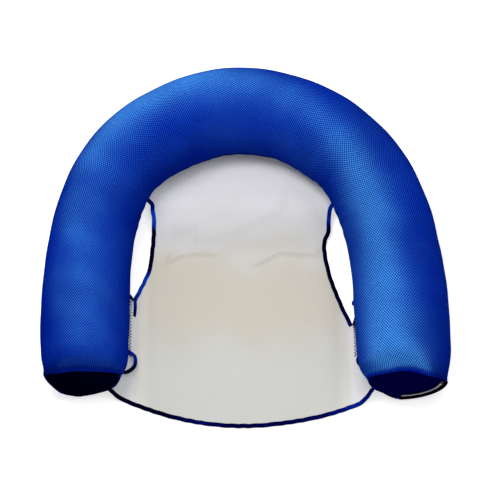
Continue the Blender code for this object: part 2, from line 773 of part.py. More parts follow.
def build_loop(name, side, spread, reach):
    """A tape loop sewn in above the seat's seam near the end of a leg."""
    feet = []
    for away in (-0.5, 0.5):
        station = leg_station(side, LEG_LENGTH - LOOP_FROM_END + away * spread)
        feet.append(station.beside_seam(INNER_SEAM, -CLEARANCE, LOOP_RISE))
    middle = (feet[0] + feet[1]) / 2
    half = (feet[1] - feet[0]) / 2
    droop = station.inward * math.cos(LOOP_DROOP) - UP * math.sin(LOOP_DROOP)
    off = half.cross(droop).normalized() * (LOOP_TAPE_THICKNESS / 2)
    rings = []
    for step in range(LOOP_STEPS + 1):
        turn = math.pi * step / LOOP_STEPS
        here = middle - half * math.cos(turn) + droop * (reach * math.sin(turn))
        way = half * math.sin(turn) + droop * (reach * math.cos(turn))
        width = way.cross(off).normalized() * (LOOP_TAPE_WIDTH / 2)
        if step in (0, LOOP_STEPS):
            width = half.normalized() * (LOOP_TAPE_WIDTH / 2)
            width = width if width.dot(way.cross(off)) > 0 else -width
        rings.append([here - width - off, here + width - off, here + width + off, here - width + off])
    add_object(name, *loft(rings), "navy_tape")


def zip_ring(end, angle, outline):
    return [end.polar(angle, reach, ahead) for reach, ahead in outline]


def box_outline(inner, outer, low, high):
    return [(inner, low), (outer, low), (outer, high), (inner, high)]


def build_zip(end):
    """Two tapes with their coils, two stops and a locking slider, round the axis of the right end."""
    tape_low = CLEARANCE
    tape_high = tape_low + ZIP_TAPE_THICKNESS
    coil_low = tape_high + CLEARANCE
    coil_high = coil_low + COIL_HEIGHT
    edge_end = ZIP_RADIUS - ZIP_SLOT / 2
    edge_cover = ZIP_RADIUS + ZIP_SLOT / 2
    angles = even_angles(ZIP_START, ZIP_START + ZIP_SPAN, ZIP_STEPS)
    tapes = (("zip_tape_cover_side", edge_cover, edge_cover + ZIP_TAPE_WIDTH_COVER),
             ("zip_tape_end_side", edge_end - ZIP_TAPE_WIDTH_END, edge_end))
    for name, inner, outer in tapes:
        outline = box_outline(inner, outer, tape_low, tape_high)
        add_object(name, *loft([zip_ring(end, angle, outline) for angle in angles]), "zip_tape")
    margin = (STOP_MARGIN + STOP_LENGTH + CLEARANCE) / ZIP_RADIUS
    teeth = even_angles(ZIP_START + margin, ZIP_START + ZIP_SPAN - margin, 2 * COIL_TOOTH_COUNT)
    for name, edge, way in (("zip_coil_cover_side", edge_cover, 1), ("zip_coil_end_side", edge_end, -1)):
        rings = []
        for k, angle in enumerate(teeth):
            near = edge + way * COIL_TOOTH * (k % 2)
            outline = box_outline(near, edge + way * COIL_WIDTH, coil_low, coil_high)
            rings.append(zip_ring(end, angle, outline))
        add_object(name, *loft(rings), "zip_coil")
    build_zip_stops(end, coil_low, coil_high)
    build_slider(end, tape_low, coil_low, coil_high)


def build_zip_stops(end, low, high):
    inner = ZIP_RADIUS - ZIP_SLOT / 2 - COIL_WIDTH
    outer = ZIP_RADIUS + ZIP_SLOT / 2 + COIL_WIDTH
    length = STOP_LENGTH / ZIP_RADIUS
    margin = STOP_MARGIN / ZIP_RADIUS
    places = (("zip_stop_start", ZIP_START + margin),
              ("zip_stop_end", ZIP_START + ZIP_SPAN - margin - length))
    for name, angle in places:
        outline = box_outline(inner, outer, low, high)
        rings = [zip_ring(end, angle, outline), zip_ring(end, angle + length, outline)]
        add_object(name, *loft(rings), "zip_metal")


def build_slider(end, tape_low, coil_low, coil_high):
    """The slider: plates in front of the coils and behind the tapes, joined by a post between them."""
    wall = ZIP_SLOT / 2 + COIL_WIDTH + CLEARANCE
    post = SLIDER_POST / 2
    roof = coil_high + CLEARANCE
    top = roof + SLIDER_PLATE
    back = tape_low - CLEARANCE
    base = back - SLIDER_PLATE
    foot = wall - SLIDER_WALL
    outline = [(-foot, base), (foot, base), (foot, back), (post, back), (post, roof), (wall, roof),
               (wall, coil_low), (wall + SLIDER_WALL, coil_low), (wall + SLIDER_WALL, top),
               (-wall - SLIDER_WALL, top), (-wall - SLIDER_WALL, coil_low), (-wall, coil_low),
               (-wall, roof), (-post, roof), (-post, back), (-foot, back)]
    outline = [(ZIP_RADIUS + across, ahead) for across, ahead in outline]
    start = ZIP_START + SLIDER_PARK / ZIP_RADIUS
    length = SLIDER_LENGTH / ZIP_RADIUS
    rings = [zip_ring(end, start + length * share, outline) for share in (0.0, 0.5, 1.0)]
    pivot = bpy.data.objects.new("zip_slider_axis", None)
    pivot.location = end.centre
    bpy.context.collection.objects.link(pivot)
    points, faces = loft(rings)
    slider = add_object("zip_slider", [p - end.centre for p in points], faces, "zip_metal")
    slider.parent = pivot


def main():
    clear_scene()
    build_cover_top()
    build_cover_bottom()
    build_bead_fill()
    build_end_panel("end_panel_left", TUBE[0], with_zip=False)
    build_end_panel("end_panel_right", TUBE[-1], with_zip=True)
    seat = Seat()
    build_bindings(seat)
    add_object("seat_panel", *seat.solid(), "seat_mesh")
    build_binding_tail(seat)
    build_loop("loop_left", -1, LOOP_SPREAD_LEFT, LOOP_REACH_LEFT)
    build_loop("loop_right", 1, LOOP_SPREAD_RIGHT, LOOP_REACH_RIGHT)
    build_zip(TUBE[-1])


main()
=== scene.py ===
"""Looks of the u-shaped pool float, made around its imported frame.

A place on the tube is given by its distance along the centreline, from the end of the left leg, and by
its angle round the section: 0 degrees faces into the U, 90 degrees faces up, 180 degrees faces out.
All lengths are in metres.
"""
import math
import random

import bmesh
import bpy
import numpy as np
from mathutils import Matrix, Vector


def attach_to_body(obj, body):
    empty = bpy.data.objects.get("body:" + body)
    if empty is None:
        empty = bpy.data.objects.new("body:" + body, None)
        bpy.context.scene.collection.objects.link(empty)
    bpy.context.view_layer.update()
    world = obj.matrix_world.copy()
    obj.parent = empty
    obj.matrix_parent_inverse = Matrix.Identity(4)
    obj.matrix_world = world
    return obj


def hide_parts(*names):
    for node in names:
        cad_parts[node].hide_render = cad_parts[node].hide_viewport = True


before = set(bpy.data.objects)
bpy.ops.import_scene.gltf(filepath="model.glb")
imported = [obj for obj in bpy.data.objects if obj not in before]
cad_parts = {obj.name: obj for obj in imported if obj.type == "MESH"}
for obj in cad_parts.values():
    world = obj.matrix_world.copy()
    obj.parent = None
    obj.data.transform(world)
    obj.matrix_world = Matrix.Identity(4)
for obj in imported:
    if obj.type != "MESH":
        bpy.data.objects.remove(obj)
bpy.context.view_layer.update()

UP = np.array((0.0, 0.0, 1.0))
# Tube, as in the frame
TUBE_RADIUS = 0.100
ARC_RADIUS = 0.343
LEG_LENGTH = 0.3345
LEG_SPLAY = math.radians(3.7)
ARC_CENTRE = np.array((0.0, -0.0275, 0.096))
TAPER_LENGTH = 0.090
END_RADIUS = 0.0842
END_LEAN = math.radians(5.5)
SEAM_DROP = math.radians(36.0)
SEAM_INNER = -SEAM_DROP
SEAM_OUTER = math.pi + SEAM_DROP

# Cover
CLOTH = 0.0012
ALONG_STEPS = 380
TOP_STEPS = 72
BOTTOM_STEPS = 30
PANEL_GAP = 0.0004
COLUMN_CROWDING = 0.10
END_CROWDING = 0.055
FLOOR_ROUNDING = 0.003
SEAM_GROOVE = 0.0024
SEAM_GROOVE_WIDTH = 0.0045
SEAM_TUCK = 0.006
SEAM_TUCK_SHORT = 0.005
PUCKER_DEPTH = 0.0005
PUCKER_PITCH = 0.016
PUCKER_REACH = 0.016
PUCKER_WANDER = 1.7
LUMP_DEPTH = 0.0011
LUMPS_LOST_AT_END = 0.6
CREASE_DEPTH = 0.0005
CREASE_PITCH = 0.043
CREASE_WANDER = 2.5
CREASE_REACH = 0.8
BEND_EASE = 0.06

# Number of crossing waves, shortest and longest wave, and seed
LUMPS = (12, 0.06, 0.20, 3)
PUCKERS = (5, 0.05, 0.15, 11)
CREASES = (4, 0.10, 0.30, 5)
SLACK = (7, 0.10, 0.30, 21)

# Ends: the cover's turned-over edge, how much less of it there is at the bottom, and the round panels
END_CURL = 0.0022
END_CURL_LOST_LOW = 0.75
END_CURL_INNER = 0.6
END_SETBACK = 0.0002
EDGE_TURN = 0.0013
EDGE_TURN_LOST_LOW = 0.0006
EDGE_DEPTH = 0.0044
EDGE_DEPTH_LOST_AT_ZIP = 0.0027
EDGE_SUNK_AT_ZIP = 0.0016
DISC_POINTS = 120
DISC_RINGS = 14
DISC_BULGE = 0.006
DISC_DROP = 0.004
DISC_SUNK_AT_ZIP = 0.0004
DISC_INSET = 0.0026
DISC_INSET_LOST_LOW = 0.0012
DISC_FORWARD = 0.0006
DISC_TUCK = 0.006
DISC_FIRST_TUCK = 0.002
DISC_TUCK_NARROWER = 0.0002
DISC_SMOOTHING = 2.2
DISC_FLAT_AT_ZIP = 0.20
DISC_RIPPLE = 0.0007
DISC_RIPPLE_REACH = 0.12

# Filling
FILL_INSET = 0.0045
FILL_FROM_END = 0.014
FILL_END_HOLLOW = 0.004
FILL_END_SHARES = (0.3, 0.6, 0.9)

# Seat
SEAT_CLOTH = 0.0012
SEAT_TUCK = 0.007
SEAT_TUCK_START = 0.001
LIP = 0.003
LIP_RADIUS = ARC_RADIUS - (TUBE_RADIUS + LIP) * math.cos(SEAM_INNER)
SIDE_OPENING_TURN = math.radians(28.8)
TAB_START_LEFT = 0.105
TAB_START_RIGHT = 0.130
TAB_END_MARGIN = 0.010
FOLD_REACH = 0.232
FOLD_BEND = 0.035
DRAPE_POWER = 1.15
HEM_SAG = 0.064
HEM_SAG_WIDTH = 0.278
SHEET_HEIGHT = 0.0022
STRIP_WIDTH_START = 0.019
STRIP_WIDTH_MIDDLE = 0.031
STRIP_WIDTH_END = 0.0245
CORNER_DRIFT_RIGHT = 0.038
HEM_DRIFT = 0.0205
HEM_RUN = 0.008
HEM_WRAP = math.radians(14.0)
HEM_RISE_LEFT = 0.009
HEM_RISE_RIGHT = 0.006
HEM_DIP_RIGHT = 0.006
TAB_BACK = 0.017
SIDE_BOW_LEFT = 0.025
SIDE_BOW_RIGHT = 0.040
LEFT_EDGE_SHARES = ((0.0, 0.0), (0.04, 0.46), (0.10, 0.58), (0.16, 0.74), (0.25, 0.86), (0.40, 0.97),
                    (0.53, 0.98), (0.66, 0.98), (0.78, 0.72), (0.92, 0.27), (1.0, 0.0))
RIGHT_EDGE_SHARES = ((0.0, 0.0), (0.05, 0.26), (0.14, 0.40), (0.19, 0.45), (0.24, 0.57), (0.29, 0.78),
                     (0.35, 0.87), (0.47, 0.865), (0.60, 0.77), (0.72, 0.59), (0.85, 0.35), (1.0, 0.0))
# Folds of the slack cloth: places they run through, height and half width
SEAT_FOLDS = ((((-0.184, -0.034), (-0.168, -0.020), (-0.150, -0.009), (-0.120, -0.003), (-0.085, -0.003),
                (-0.040, -0.006)), 0.0075, 0.0045),
              (((0.010, -0.037), (0.035, -0.027), (0.057, -0.014), (0.077, -0.002), (0.092, 0.000),
                (0.120, -0.002), (0.190, -0.007)), 0.0075, 0.0045),
              (((-0.120, 0.022), (-0.040, 0.050), (0.040, 0.085), (0.110, 0.125)), 0.0055, 0.016),
              (((-0.170, 0.045), (-0.110, 0.070), (-0.050, 0.110), (0.000, 0.150)), 0.0042, 0.014))
FOLD_BACK_SLOPE = 3.0
FOLD_START = 0.02
FOLD_STOP = 0.03
SLACK_HEIGHT = 0.0016
SLACK_EASE = 0.10
# Where changes along the legs and across the hem begin or end, and how hollow the strips get
HEM_DIP_START = 0.70
HEM_SWING_START = 0.62
HEM_TURN_START = 0.80
TAB_BACK_REACH = 0.16
STRIP_HOLLOW = 0.9
SIDE_ROWS = 56
TAB_ROWS = 64
SEAT_COLUMNS = 110
STRIP_COLUMNS = 12

# How the filling lies in the cover: change of radius and shift outwards at distances along the tube
FULLNESS = ((0.00, -0.0030), (0.06, -0.0012), (0.14, -0.0004), (0.22, -0.0014), (0.31, -0.0028),
            (0.42, -0.0040), (0.54, -0.0038), (0.60, -0.0020), (0.68, -0.0002), (0.77, 0.0010),
            (0.93, 0.0016), (1.02, 0.0007), (1.10, -0.0001), (1.18, 0.0005), (1.25, 0.0020),
            (1.31, 0.0034), (1.37, 0.0036), (1.43, 0.0045), (1.50, 0.0050), (1.56, 0.0060),
            (1.62, 0.0058), (1.66, 0.0046), (1.6923, 0.0), (1.7023, 0.0))
SIDE_SHIFT = ((0.00, -0.0070), (0.06, -0.0070), (0.10, -0.0036), (0.145, -0.0005), (0.19, 0.0025),
              (0.25, 0.0040), (0.31, 0.0028), (0.37, 0.0006), (0.42, 0.0012), (0.48, 0.0037),
              (0.54, 0.0053), (0.60, 0.0044), (0.68, 0.0018), (0.77, 0.0011), (0.85, 0.0018),
              (0.93, 0.0009), (1.02, -0.0014), (1.10, -0.0032), (1.18, -0.0052), (1.25, -0.0070),
              (1.31, -0.0068), (1.37, -0.0032), (1.43, 0.0024), (1.50, 0.0038), (1.56, 0.0024),
              (1.62, -0.0010), (1.66, -0.0020), (1.6923, 0.0), (1.7023, 0.0))

# Camera
VIEW_ELEVATION = 1.2293
VIEW_DISTANCE = 4.0
FOCAL_PIXELS = 1760.0
IMAGE_PIXELS = 500.0
SENSOR_MM = 36.0
SHIFT_PIXELS = 6.96


def smooth_between(shares, t):
    """Values at t of the smooth curve through a table of pairs, for one t or many."""
    at = np.array([pair[0] for pair in shares], float)
    value = np.array([pair[1] for pair in shares], float)
    t = np.asarray(t, float)
    k = np.clip(np.searchsorted(at, t, side="right") - 1, 0, len(at) - 2)
    before, after = np.maximum(k - 1, 0), np.minimum(k + 2, len(at) - 1)
    width = at[k + 1] - at[k]
    slope_here = (value[k + 1] - value[before]) / (at[k + 1] - at[before])
    slope_there = (value[after] - value[k]) / (at[after] - at[k])
    s = (t - at[k]) / width
    rise = (2 * s**3 - 3 * s**2 + 1) * value[k] + (3 * s**2 - 2 * s**3) * value[k + 1]
    return rise + width * ((s**3 - 2 * s**2 + s) * slope_here + (s**3 - s**2) * slope_there)


def smooth_round(table, angle):
    """The same for a table of degrees that goes once round and repeats."""
    whole = ([(a - 360.0, v) for a, v in table[-2:]] + list(table) + [(a + 360.0, v) for a, v in table[:2]])
    return smooth_between(whole, np.degrees(angle) % 360.0)


def smoothstep(t):
    t = np.clip(t, 0.0, 1.0)
    return t * t * (3.0 - 2.0 * t)


def unit(v):
    """Vectors scaled to length 1."""
    return v / np.maximum(np.linalg.norm(v, axis=-1, keepdims=True), 1e-9)


def distances(line):
    """Distance along a line of points to each of them."""
    return np.concatenate(([0.0], np.cumsum(np.linalg.norm(np.diff(line, axis=0), axis=1))))


def heading(line, k):
    """Direction of a line of points at one of them."""
    return unit(line[min(k + 1, len(line) - 1)] - line[max(k - 1, 0)])


def off_floor(height):
    """The same height well above the floor, eased so that it never goes below it."""
    return 0.5 * (height + np.sqrt(height ** 2 + FLOOR_ROUNDING ** 2))


def waves(u, v, w, count, shortest, longest, seed):
    """Smooth irregular waviness of about -1 to 1 in space, from a few crossing sine waves."""
    draw = random.Random(seed)
    total = np.zeros(np.broadcast(u, v, w).shape)
    for _ in range(count):
        way = np.array([draw.gauss(0.0, 1.0) for _ in range(3)])
        way *= 2.0 * math.pi / (np.linalg.norm(way) * draw.uniform(shortest, longest))
        total = total + np.sin(way[0] * u + way[1] * v + way[2] * w + draw.uniform(0.0, 2.0 * math.pi))
    return total / math.sqrt(count)


# The tube's line

SWEEP = math.pi - 2.0 * LEG_SPLAY
ARC_LENGTH = ARC_RADIUS * SWEEP
TUBE_LENGTH = 2.0 * LEG_LENGTH + ARC_LENGTH


def leg_line(side, place):
    """Centre, inward, up and axis at a distance along a leg from the arc; side is -1 on the left."""
    out = np.array((side * math.sin(LEG_SPLAY), -math.cos(LEG_SPLAY), 0.0))
    inward = np.array((-side * math.cos(LEG_SPLAY), -math.sin(LEG_SPLAY), 0.0))
    lean = END_LEAN * max(0.0, 1.0 - (LEG_LENGTH - place) / TAPER_LENGTH)
    up = UP * math.cos(lean) - out * math.sin(lean)
    axis = out * math.cos(lean) + UP * math.sin(lean)
    return ARC_CENTRE - inward * ARC_RADIUS + out * place, inward, up, axis


def line_at(s):
    """The same at a distance along the whole tube, where the axis points out of the nearer end."""
    if s < LEG_LENGTH:
        centre, inward, up, axis = leg_line(-1, LEG_LENGTH - s)
    elif s > LEG_LENGTH + ARC_LENGTH:
        centre, inward, up, axis = leg_line(1, s - LEG_LENGTH - ARC_LENGTH)
    else:
        angle = math.pi - LEG_SPLAY - (s - LEG_LENGTH) / ARC_RADIUS
        inward = np.array((-math.cos(angle), -math.sin(angle), 0.0))
        side = -1.0 if s < TUBE_LENGTH / 2 else 1.0
        axis = np.array((side * math.sin(angle), -side * math.cos(angle), 0.0))
        centre, up = ARC_CENTRE - inward * ARC_RADIUS, UP
    return centre - inward * float(smooth_between(SIDE_SHIFT, s)), inward, up, axis


def lines(places):
    """The same for many places at once, as four arrays."""
    found = [line_at(s) for s in places]
    return [np.array([f[k] for f in found])[:, None, :] for k in range(4)]


def end_share(s):
    """How far into the taper a place is, from 0 to 1 at the very end."""
    place = np.maximum(LEG_LENGTH - s, s - LEG_LENGTH - ARC_LENGTH)
    return np.clip(1.0 - (LEG_LENGTH - place) / TAPER_LENGTH, 0.0, 1.0)


def tube_radius(s):
    return TUBE_RADIUS - (TUBE_RADIUS - END_RADIUS) * end_share(s) ** 2 + smooth_between(FULLNESS, s)


# The soft ends: push along the axis and cut of the radius at angles round the rim, in degrees

LEFT_PUSH = ((0, -0.025), (20, -0.020), (47, -0.0125), (78, -0.0085), (107, -0.0075), (140, -0.004),
             (160, -0.007), (180, -0.013), (205, -0.004), (225, 0.006), (240, 0.006), (252, 0.005),
             (263, 0.003), (275, -0.001), (300, -0.007), (330, -0.011))
LEFT_CUT = ((0, -0.003), (20, 0.002), (45, 0.012), (90, 0.024), (135, 0.014), (160, 0.000),
            (180, -0.006), (200, -0.003), (225, 0.004), (270, -0.001), (300, 0.000), (330, 0.000))
RIGHT_PUSH = ((0, -0.016), (27, -0.010), (53, -0.005), (77, -0.0055), (100, -0.001), (124, 0.009),
              (150, 0.008), (180, 0.005), (200, 0.006), (225, 0.006), (280, 0.006), (294, 0.001),
              (307, -0.005), (323, -0.006), (340, -0.010))
RIGHT_CUT = ((0, -0.003), (20, 0.0), (45, 0.007), (90, 0.014), (135, 0.006), (160, -0.001),
             (180, -0.0035), (200, -0.0038), (226, -0.0050), (250, -0.0038), (280, -0.0035), (294, -0.002),
             (315, 0.0), (340, -0.001))
PUSH_START_SHARE = 0.35
CUT_POWER = 7.0
ZIP_START = math.radians(178.0)
ZIP_SPAN = math.radians(100.0)
ZIP_RADIUS = 0.0770
ZIP_WINDOW_MARGIN = 0.09
ZIP_WINDOW_EASE = 0.10


def turned_from(angle, middle):
    """Unsigned angle from a direction, the short way round."""
    return np.abs((angle - middle + math.pi) % (2.0 * math.pi) - math.pi)


def zip_window(angle):
    """1 where the zip lies on the right end, 0 away from it."""
    away = turned_from(angle, ZIP_START + ZIP_SPAN / 2)
    return smoothstep((ZIP_SPAN / 2 + ZIP_WINDOW_MARGIN - away) / ZIP_WINDOW_EASE)


def lowness(angle):
    """1 at the bottom of an end, 0 at its top."""
    return smoothstep(0.5 - 1.5 * np.sin(angle))


def end_shape(s, angle):
    """Push along the axis and cut of the radius that shape the soft ends."""
    left = s < TUBE_LENGTH / 2
    share = end_share(s)
    near = smoothstep((share - PUSH_START_SHARE) / (1.0 - PUSH_START_SHARE))
    push = np.where(left, smooth_round(LEFT_PUSH, angle), smooth_round(RIGHT_PUSH, angle))
    cut = np.where(left, smooth_round(LEFT_CUT, angle), smooth_round(RIGHT_CUT, angle))
    return push * near, cut * share ** CUT_POWER


def skin(places, angles, inset=0.0):
    """Points of the filled cover's outer face, for a column of places and a row of angles."""
    s = np.asarray(places, float)[:, None]
    angle = np.broadcast_to(np.asarray(angles, float), (len(s), np.shape(angles)[-1]))
    centre, inward, up, axis = lines(s[:, 0])
    push, cut = end_shape(s, angle)
    share = end_share(s)
    across, high = TUBE_RADIUS * np.cos(angle), TUBE_RADIUS * np.sin(angle)
    lumps = LUMP_DEPTH * waves(s, across, high, *LUMPS)
    radius = tube_radius(s) - cut + lumps * (1.0 - LUMPS_LOST_AT_END * share)
    for seam in (SEAM_INNER, SEAM_OUTER):
        away = turned_from(angle, seam) * TUBE_RADIUS
        ripple = np.sin(2.0 * math.pi * s / PUCKER_PITCH + PUCKER_WANDER * waves(s, 0.0, 0.0, *PUCKERS))
        shape = PUCKER_DEPTH * ripple * np.exp(-away / PUCKER_REACH)
        shape = shape - SEAM_GROOVE * np.exp(-(away / SEAM_GROOVE_WIDTH) ** 2)
        radius = radius + shape * (1.0 - share ** 3)
    bend = smoothstep((s - LEG_LENGTH) / BEND_EASE) * smoothstep((LEG_LENGTH + ARC_LENGTH - s) / BEND_EASE)
    crease = np.sin(2.0 * math.pi * s / CREASE_PITCH + CREASE_WANDER * waves(s, across, high, *CREASES))
    inner = np.exp(-(turned_from(angle, 0.0) / CREASE_REACH) ** 2)
    radius = radius + CREASE_DEPTH * bend * crease * inner - inset
    p = centre + inward * (radius * np.cos(angle))[..., None] + up * (radius * np.sin(angle))[..., None]
    p = p + axis * push[..., None]
    p[..., 2] = off_floor(p[..., 2] - inset) + inset
    return p


# Mesh making


def give_tape_lit(piece, values):
    """Stores how much painted light each point of a tape gets, from painted shade at 0 to painted light at 1,
    for its material.
    """
    layer = piece.data.attributes.new("tape_lit", "FLOAT", "POINT")
    layer.data.foreach_set("value", np.asarray(values, dtype=np.float32))


def mesh_piece(name, points, faces, finish, uvs=None, smooth=True):
    """A new piece of the scene from its points and faces."""
    mesh = bpy.data.meshes.new(name)
    mesh.from_pydata([tuple(p) for p in points], [], faces)
    if uvs is not None:
        layer = mesh.uv_layers.new(name="UVMap")
        where = np.zeros(len(mesh.loops), dtype=np.int32)
        mesh.loops.foreach_get("vertex_index", where)
        layer.data.foreach_set("uv", np.asarray(uvs, np.float32)[where].ravel())
    if smooth:
        mesh.shade_smooth()
    mesh.materials.append(finish)
    piece = bpy.data.objects.new(name, mesh)
    bpy.context.scene.collection.objects.link(piece)
    return piece


def attach(piece, node=None, body="float"):
    """Puts a piece on its body, in place of its node if it has one."""
    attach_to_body(piece, body)
    if node:
        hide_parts(node)
    return piece


def outward(piece):
    """Turns the faces of a closed piece outwards."""
    work = bmesh.new()
    work.from_mesh(piece.data)
    bmesh.ops.recalc_face_normals(work, faces=work.faces)
    work.to_mesh(piece.data)
    work.free()
    return piece


def turn_to(piece, direction):
    """Flips all faces where most of them face against the direction given for their middle."""
    mesh = piece.data
    votes = 0
    for k in range(0, len(mesh.polygons), max(len(mesh.polygons) // 400, 1)):
        face = mesh.polygons[k]
        votes += 1 if float(np.dot(np.array(face.normal), direction(np.array(face.center)))) > 0 else -1
    if votes < 0:
        mesh.flip_normals()


def thicken(piece, thickness, offset=-1.0):
    solid = piece.modifiers.new("thickness", "SOLIDIFY")
    solid.thickness = thickness
    solid.offset = offset
    solid.use_even_offset = False


def grid_faces(rows, columns, closed=False, start=0):
    faces = []
    for r in range(rows - 1):
        for c in range(columns if closed else columns - 1):
            here = start + r * columns + c
            beside = start + r * columns + (c + 1) % columns
            faces.append((here, beside, beside + columns, here + columns))
    return faces


def loft(rows):
    """Points and faces through rows of points, each a closed outline, with both ends closed."""
    count, size = len(rows), len(rows[0])
    faces = grid_faces(count, size, closed=True)
    faces.append(tuple(range(size))[::-1])
    faces.append(tuple((count - 1) * size + k for k in range(size)))
    return [p for row in rows for p in row], faces


def sweep(path, outlines):
    """The same along a path of frames (point, side, up), with one outline or one for each frame."""
    per = outlines if isinstance(outlines[0][0], (tuple, list)) else [outlines] * len(path)
    return loft([[here + side * a + up * b for a, b in outline]
                 for (here, side, up), outline in zip(path, per)])


def joined(shapes):
    """The points and faces of several shapes as one."""
    points, faces = [], []
    for some, flat in shapes:
        faces += [tuple(v + len(points) for v in face) for face in flat]
        points += some
    return points, faces


def round_outline(radius, sides):
    turns = [2.0 * math.pi * k / sides for k in range(sides)]
    return [(radius * math.cos(turn), radius * math.sin(turn)) for turn in turns]


# Materials


class Nodes:
    """Short calls for building the node tree of a material or a world."""

    def __init__(self, owner):
        owner.use_nodes = True
        self.owner = owner
        self.tree = owner.node_tree

    def feed(self, socket, value):
        """Links another node's output to a socket, or sets a plain value on it."""
        if isinstance(value, bpy.types.NodeSocket):
            self.tree.links.new(value, socket)
        elif value is not None:
            socket.default_value = value

    def run(self, kind, inputs, output=0, **settings):
        """Adds a node, feeds its inputs by name or number, and gives one of its outputs."""
        node = self.tree.nodes.new(kind)
        for key, value in settings.items():
            setattr(node, key, value)
        for key, value in inputs.items():
            self.feed(node.inputs[key], value)
        return node.outputs[output]

    def shade(self, inputs):
        """Feeds the shader's inputs and gives the finished material."""
        for key, value in inputs.items():
            self.feed(self.tree.nodes["Principled BSDF"].inputs[key], value)
        return self.owner

    def uv(self):
        return self.run("ShaderNodeUVMap", {}, "UV", uv_map="UVMap")

    def coordinate(self, kind="Object"):
        return self.run("ShaderNodeTexCoord", {}, kind)

    def parts(self, vector):
        """The X, Y and Z of a vector."""
        node = self.tree.nodes.new("ShaderNodeSeparateXYZ")
        self.feed(node.inputs[0], vector)
        return tuple(node.outputs)

    def math(self, operation, a, b=None):
        return self.run("ShaderNodeMath", {0: a, 1: b}, operation=operation)

    def total(self, first, *others):
        for value in others:
            first = self.math("ADD", first, value)
        return first

    def product(self, first, *others):
        for value in others:
            first = self.math("MULTIPLY", first, value)
        return first

    def vector(self, operation, a, b=None):
        output = "Value" if operation in ("DOT_PRODUCT", "LENGTH") else 0
        return self.run("ShaderNodeVectorMath", {0: a, 1: b}, output, operation=operation)

    def scaled(self, vector, factor):
        return self.run("ShaderNodeVectorMath", {0: vector, "Scale": factor}, operation="SCALE")

    def ramp(self, value, low, high, start=0.0, stop=1.0):
        inputs = {"Value": value, "From Min": low, "From Max": high, "To Min": start, "To Max": stop}
        return self.run("ShaderNodeMapRange", inputs, "Result", interpolation_type="SMOOTHSTEP")

    def mix(self, share, a, b):
        return self.run("ShaderNodeMix", {0: share, 6: a, 7: b}, 2, data_type="RGBA")

    def noise(self, place, scale, detail):
        return self.run("ShaderNodeTexNoise", {"Vector": place, "Scale": scale, "Detail": detail}, "Fac")

    def speckle(self, place, grain, reach):
        """Noise with this scale and detail, stretched from one range of its values to another."""
        return self.ramp(self.noise(place, *grain), *reach)

    def cells(self, uv, pitch):
        """Distance to the nearest point of a staggered lattice with this pitch along u and v."""
        scaled = self.vector("DIVIDE", uv, (pitch[0], pitch[1], 1.0))
        away = []
        for shift in ((0.0, 0.0, 0.0), (0.5, 0.5, 0.0)):
            part = self.vector("FRACTION", self.vector("ADD", scaled, shift))
            centred = self.vector("SUBTRACT", part, (0.5, 0.5, 0.0))
            away.append(self.vector("LENGTH", self.vector("MULTIPLY", centred, (1.0, 1.0, 0.0))))
        return self.math("MINIMUM", *away)

    def bump(self, height, strength, distance):
        inputs = {"Height": height, "Strength": strength, "Distance": distance}
        return self.run("ShaderNodeBump", inputs, "Normal")

    def seen_directly(self):
        """1 for rays from the camera or off something glossy or clear, 0 for the light that spreads about."""
        node = self.tree.nodes.new("ShaderNodeLightPath")
        seen = self.math("MAXIMUM", node.outputs["Is Camera Ray"], node.outputs["Is Glossy Ray"])
        return self.math("MAXIMUM", seen, node.outputs["Is Transmission Ray"])


def new_material(name):
    return Nodes(bpy.data.materials.new(name))


def colour(red, green, blue):
    return (red, green, blue, 1.0)


def darker(shade, share):
    return colour(*(c * share for c in shade[:3]))


# Painted light on the cloth: a level, slopes with the way it faces and with its place across the float, and a
# broad painted highlight band on the side that faces the lamps, which moves over the cloth with the place
# across.
PAINTED_LIGHT_LEVEL = 0.56
PAINTED_LIGHT_SLOPE = (-0.027, 0.019, 0.107)
PAINTED_LIGHT_ACROSS = 0.138
PAINTED_LIGHT_INWARD = -0.183
PAINTED_LIGHT_PATCHES = (7.0, 2.0)
PAINTED_LIGHT_PATCHES_SHARE = 0.35
BAND_FACES = (-0.328, 1.267, 1.902)
BAND_TURNS = (0.256, -5.914, -2.517)
BAND_SHARPNESS = 6.652
BAND_STRENGTH = (1.588, -2.298, -3.250)
BAND_FRONT = -0.27
BAND_NEAR_END = (0.0, 0.05, 0.45, 1.0)

# Knitted cloth: pitches along and across, reach of the holes and of the yarn's crowns, how much they show,
# noises as scale and detail with their ranges, and where the painted shade of the underside and the outer
# flanks and the painted light and shade near the ends begin
TUBE_PITCH = (0.0072, 0.0058)
SEAT_PITCH = (0.0060, 0.0052)
HOLE_REACH = (0.16, 0.38)
CROWN_REACH = (0.36, 0.50)
CROWN_SHARE = 0.75
CLOTH_CLOUDS = ((5.0, 2.0), (0.3, 0.7, 0.90, 1.10))
CLOTH_GRAIN = ((160.0, 2.0), (0.2, 0.8, 0.92, 1.08))
CLOTH_BUMP = 0.9
HOLES_ROUGHER = 0.2
UNDERSIDE = (0.0, -0.6, -0.8)
UNDERSIDE_SHADE = (0.60, 0.80, 1.0, 0.40)
FLANK_REACH = (0.22, 0.06)
FLANK_SHADE = (0.0, 1.0, 0.70, 1.0)
END_PAINTED_LIGHT_REACH = (0.060, 0.0)
LEGS_REACH = (-0.27, 0.27)
ENDS_REACH = (-0.36, 0.30)
EVERYWHERE = (-2.0, -1.9)


